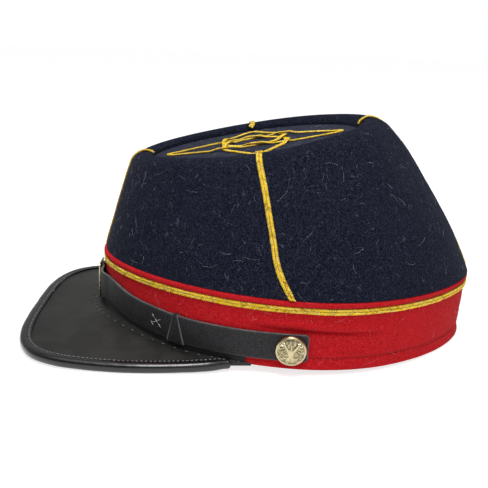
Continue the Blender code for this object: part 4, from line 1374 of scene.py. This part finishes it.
def makeSlide(brass):
    # A flat plate with a raised border over the strap, held by a narrow loop that passes behind it.
    middle, wall, lean = slide["centre"], slide["frontWall"], slide["lean"]
    bandLean = (bandLevel(middle + 5).front - bandLevel(middle - 5).front) / 10
    back = bandLevel(middle).front - gap
    plateBack = strapPlace(0.0, middle, strap["thick"]).y - slide["clear"]
    opening = peak["front"][0].strap - middle + strap["height"] / 2 + 2 * gap
    shape = bmesh.new()
    shape.verts.layers.float.new("tone")
    size = (slide["width"], wall, slide["height"], 1.0)
    bmesh.ops.create_cube(shape, size=1.0, matrix=Matrix.Diagonal(size))
    corners = [edge for edge in shape.edges if abs(edge.verts[0].co.y - edge.verts[1].co.y) > wall / 2]
    bmesh.ops.bevel(shape, geom=corners, offset=slide["corner"], segments=6, profile=0.5, affect="EDGES",
                    material=-1)
    face = min(shape.faces, key=lambda item: item.calc_center_median().y)
    bmesh.ops.inset_region(shape, faces=[face], thickness=slide["border"], depth=0.0)
    bmesh.ops.inset_region(shape, faces=[face], thickness=slide["step"], depth=-slide["sunk"])
    rims = [edge for edge in shape.edges if edge.calc_face_angle(0.0) > math.radians(60)]
    bmesh.ops.bevel(shape, geom=rims, offset=slide["rimRound"], segments=2, profile=0.5, affect="EDGES",
                    material=-1)
    for vert in shape.verts:
        vert.co.y += plateBack - wall / 2 + lean * vert.co.z
        vert.co.z += middle
    front, tall = plateBack - wall / 3, opening + slide["backWall"]
    plateVerts = set(shape.verts)
    size = (slide["loopWidth"], 1.0, 2 * tall, 1.0)
    loop = bmesh.ops.create_cube(shape, size=1.0, matrix=Matrix.Diagonal(size))
    for vert in loop["verts"]:
        near = vert.co.y > 0
        vert.co.y = (back if near else front) + (bandLean if near else lean) * vert.co.z
        vert.co.z += middle
    ends = [item for item in {face for vert in loop["verts"] for face in vert.link_faces}
            if abs(item.normal.x) > 0.9]
    ends.sort(key=lambda item: item.calc_center_median().x)
    bmesh.ops.inset_individual(shape, faces=ends, thickness=slide["backWall"], depth=0.0)
    edges = [edge for item in ends for edge in item.edges]
    bmesh.ops.delete(shape, geom=ends, context="FACES_ONLY")
    bmesh.ops.bridge_loops(shape, edges=edges)
    bmesh.ops.recalc_face_normals(shape, faces=shape.faces)
    tone = shape.verts.layers.float["tone"]
    # painted shade: the loop behind the plate takes the dark tone and the plate the bright one
    for vert in shape.verts:
        vert[tone] = 0.9 if vert in plateVerts else 0.0
    return dress(addPiece("brass_slide", shape, brass, 40.0), "brass", "strap_slide")


# Loose hairs and fuzz

fuzz = {
    "crownHairs": 300, "bandHairs": 70, "crownNap": 5200, "palerNap": 3200, "bandNap": 2400,
    "hairLength": (2.0, 10.0), "hairWidth": (0.018, 0.055), "napLength": (0.6, 1.5), "napWidth": 0.03,
    "lowest": 2.5, "highest": 29.5,  # where hairs start on the band
}


def hairPath(start, outward, length, count, curl, stand):
    # A hair that lies along the cloth and curls over it.
    ahead = outward.orthogonal().normalized()
    ahead.rotate(Matrix.Rotation(random.uniform(0, 2 * math.pi), 3, outward))
    bend, points, point = random.uniform(-curl, curl), [], start.copy()
    for number in range(count):
        share = number / (count - 1)
        points.append(point + outward * (0.08 + stand * math.sin(math.pi * share * 0.8)))
        ahead.rotate(Matrix.Rotation(bend * random.uniform(0.3, 1.4), 3, outward))
        point = point + ahead * length / (count - 1)
    return points


def addHairs(name, paths, widths, finish, slotName):
    curve = bpy.data.curves.new(name, "CURVE")
    curve.dimensions, curve.bevel_depth, curve.bevel_resolution = "3D", 1.0, 0
    curve.use_fill_caps = False
    for points, width in zip(paths, widths):
        line = curve.splines.new("POLY")
        line.points.add(len(points) - 1)
        for number, point in enumerate(points):
            line.points[number].co = (*point, 1.0)
            share = number / (len(points) - 1)
            line.points[number].radius = width * (1.0 - 0.7 * share)
    holder = putObject(name + "_curve", curve)
    mesh = settledMesh(holder)
    bpy.data.objects.remove(holder)
    shape = bmesh.new()
    shape.from_mesh(mesh)
    bpy.data.meshes.remove(mesh)
    return dress(addPiece(name, shape, finish), slotName)


def crownSpot():
    # A random point of the crown's outside with the direction out of it.
    share, angle = random.uniform(0.01, 0.985), random.uniform(0, 360)
    point = crownPoint(share, angle)
    around = crownPoint(share, angle + 0.5) - point
    upward = crownPoint(min(share + 0.01, 0.995), angle) - crownPoint(share - 0.01, angle)
    return point, around.cross(upward).normalized()


def topSpot():
    angle, share = random.uniform(0, 360), math.sqrt(random.random()) * 0.93
    return topPoint(angle, share), topNormal


def bandSpot():
    angle, height = random.uniform(0, 360), random.uniform(fuzz["lowest"], fuzz["highest"])
    if height < 24 and abs(fromFront(angle)) < 92:
        height = random.uniform(25, fuzz["highest"])  # the strap and the peak cover the lower front
    point = bandPoint(angle, height)
    around = bandPoint(angle + 0.5, height) - point
    return point, around.cross(upright).normalized()


def makeFuzz(finish):
    paths, widths = [], []
    for number in range(fuzz["crownHairs"] + fuzz["bandHairs"]):
        spot = crownSpot if number < fuzz["crownHairs"] else bandSpot
        point, outward = topSpot() if spot is crownSpot and number % 6 == 0 else spot()
        low, high = fuzz["hairLength"]
        length = low + (high - low) * random.random() ** 2
        paths.append(hairPath(point, outward, length, 8, 0.22, random.uniform(0.05, 0.35)))
        low, high = fuzz["hairWidth"]
        widths.append(low + (high - low) * random.random())
    addHairs("pale_lint", paths, widths, finish["pale_hair"], "navy_wool")
    for name, count, spot, hair, slotName in (
            ("crown_nap", fuzz["crownNap"], crownSpot, "navy_hair", "navy_wool"),
            ("crown_specks", fuzz["palerNap"], crownSpot, "dim_hair", "navy_wool"),
            ("band_nap", fuzz["bandNap"], bandSpot, "red_hair", "red_wool")):
        paths = []
        for number in range(count):
            point, outward = topSpot() if spot is crownSpot and number % 5 == 0 else spot()
            length = random.uniform(*fuzz["napLength"])
            paths.append(hairPath(point, outward, length, 3, 0.8, random.uniform(0.1, 0.5)))
        addHairs(name, paths, [fuzz["napWidth"]] * count, finish[hair], slotName)


def main():
    setCamera()
    setStudio()
    print("camera and studio set")
    finish = {name: feltFinish(name, look) for name, look in feltLooks.items()}
    finish |= {name: leatherFinish(name, look) for name, look in leatherLooks.items()}
    finish |= {name: threadFinish(name, *look) for name, look in threadLooks.items()}
    gold = braidFinish("gold_yarn", braidLook)
    brass = brassFinish("stamped_brass", brassLook)
    print("finishes ready")
    makeCrown(finish["navy_felt"])
    makeCrownTop(finish["navy_felt_top"])
    makeBand(finish["red_felt"])
    makeBandStitches(finish["red_thread"])
    makePiping(finish["red_felt"])
    makeBandBraid(gold)
    for place, angleAt in (("front", lambda share: 0.0), ("back", lambda share: 180.0),
                           ("left", sideAngle), ("right", lambda share: -sideAngle(share))):
        makeCrownBraid("gold_braid_" + place, "braid_" + place, angleAt, gold)
    makeKnot(gold)
    makePeak(finish["peak_grain"], finish["grey_thread_painted_glints"])
    makeBinding(finish["binding_grain"], finish["pale_thread"])
    makeStrap(finish["strap_grain"])
    makeKeeper(finish["strap_grain"], finish["white_thread"])
    makeSlide(brass)
    makeButton("brass_button_left", "button_left", 1, brass)
    makeButton("brass_button_right", "button_right", -1, brass)
    makeFuzz(finish)


main()
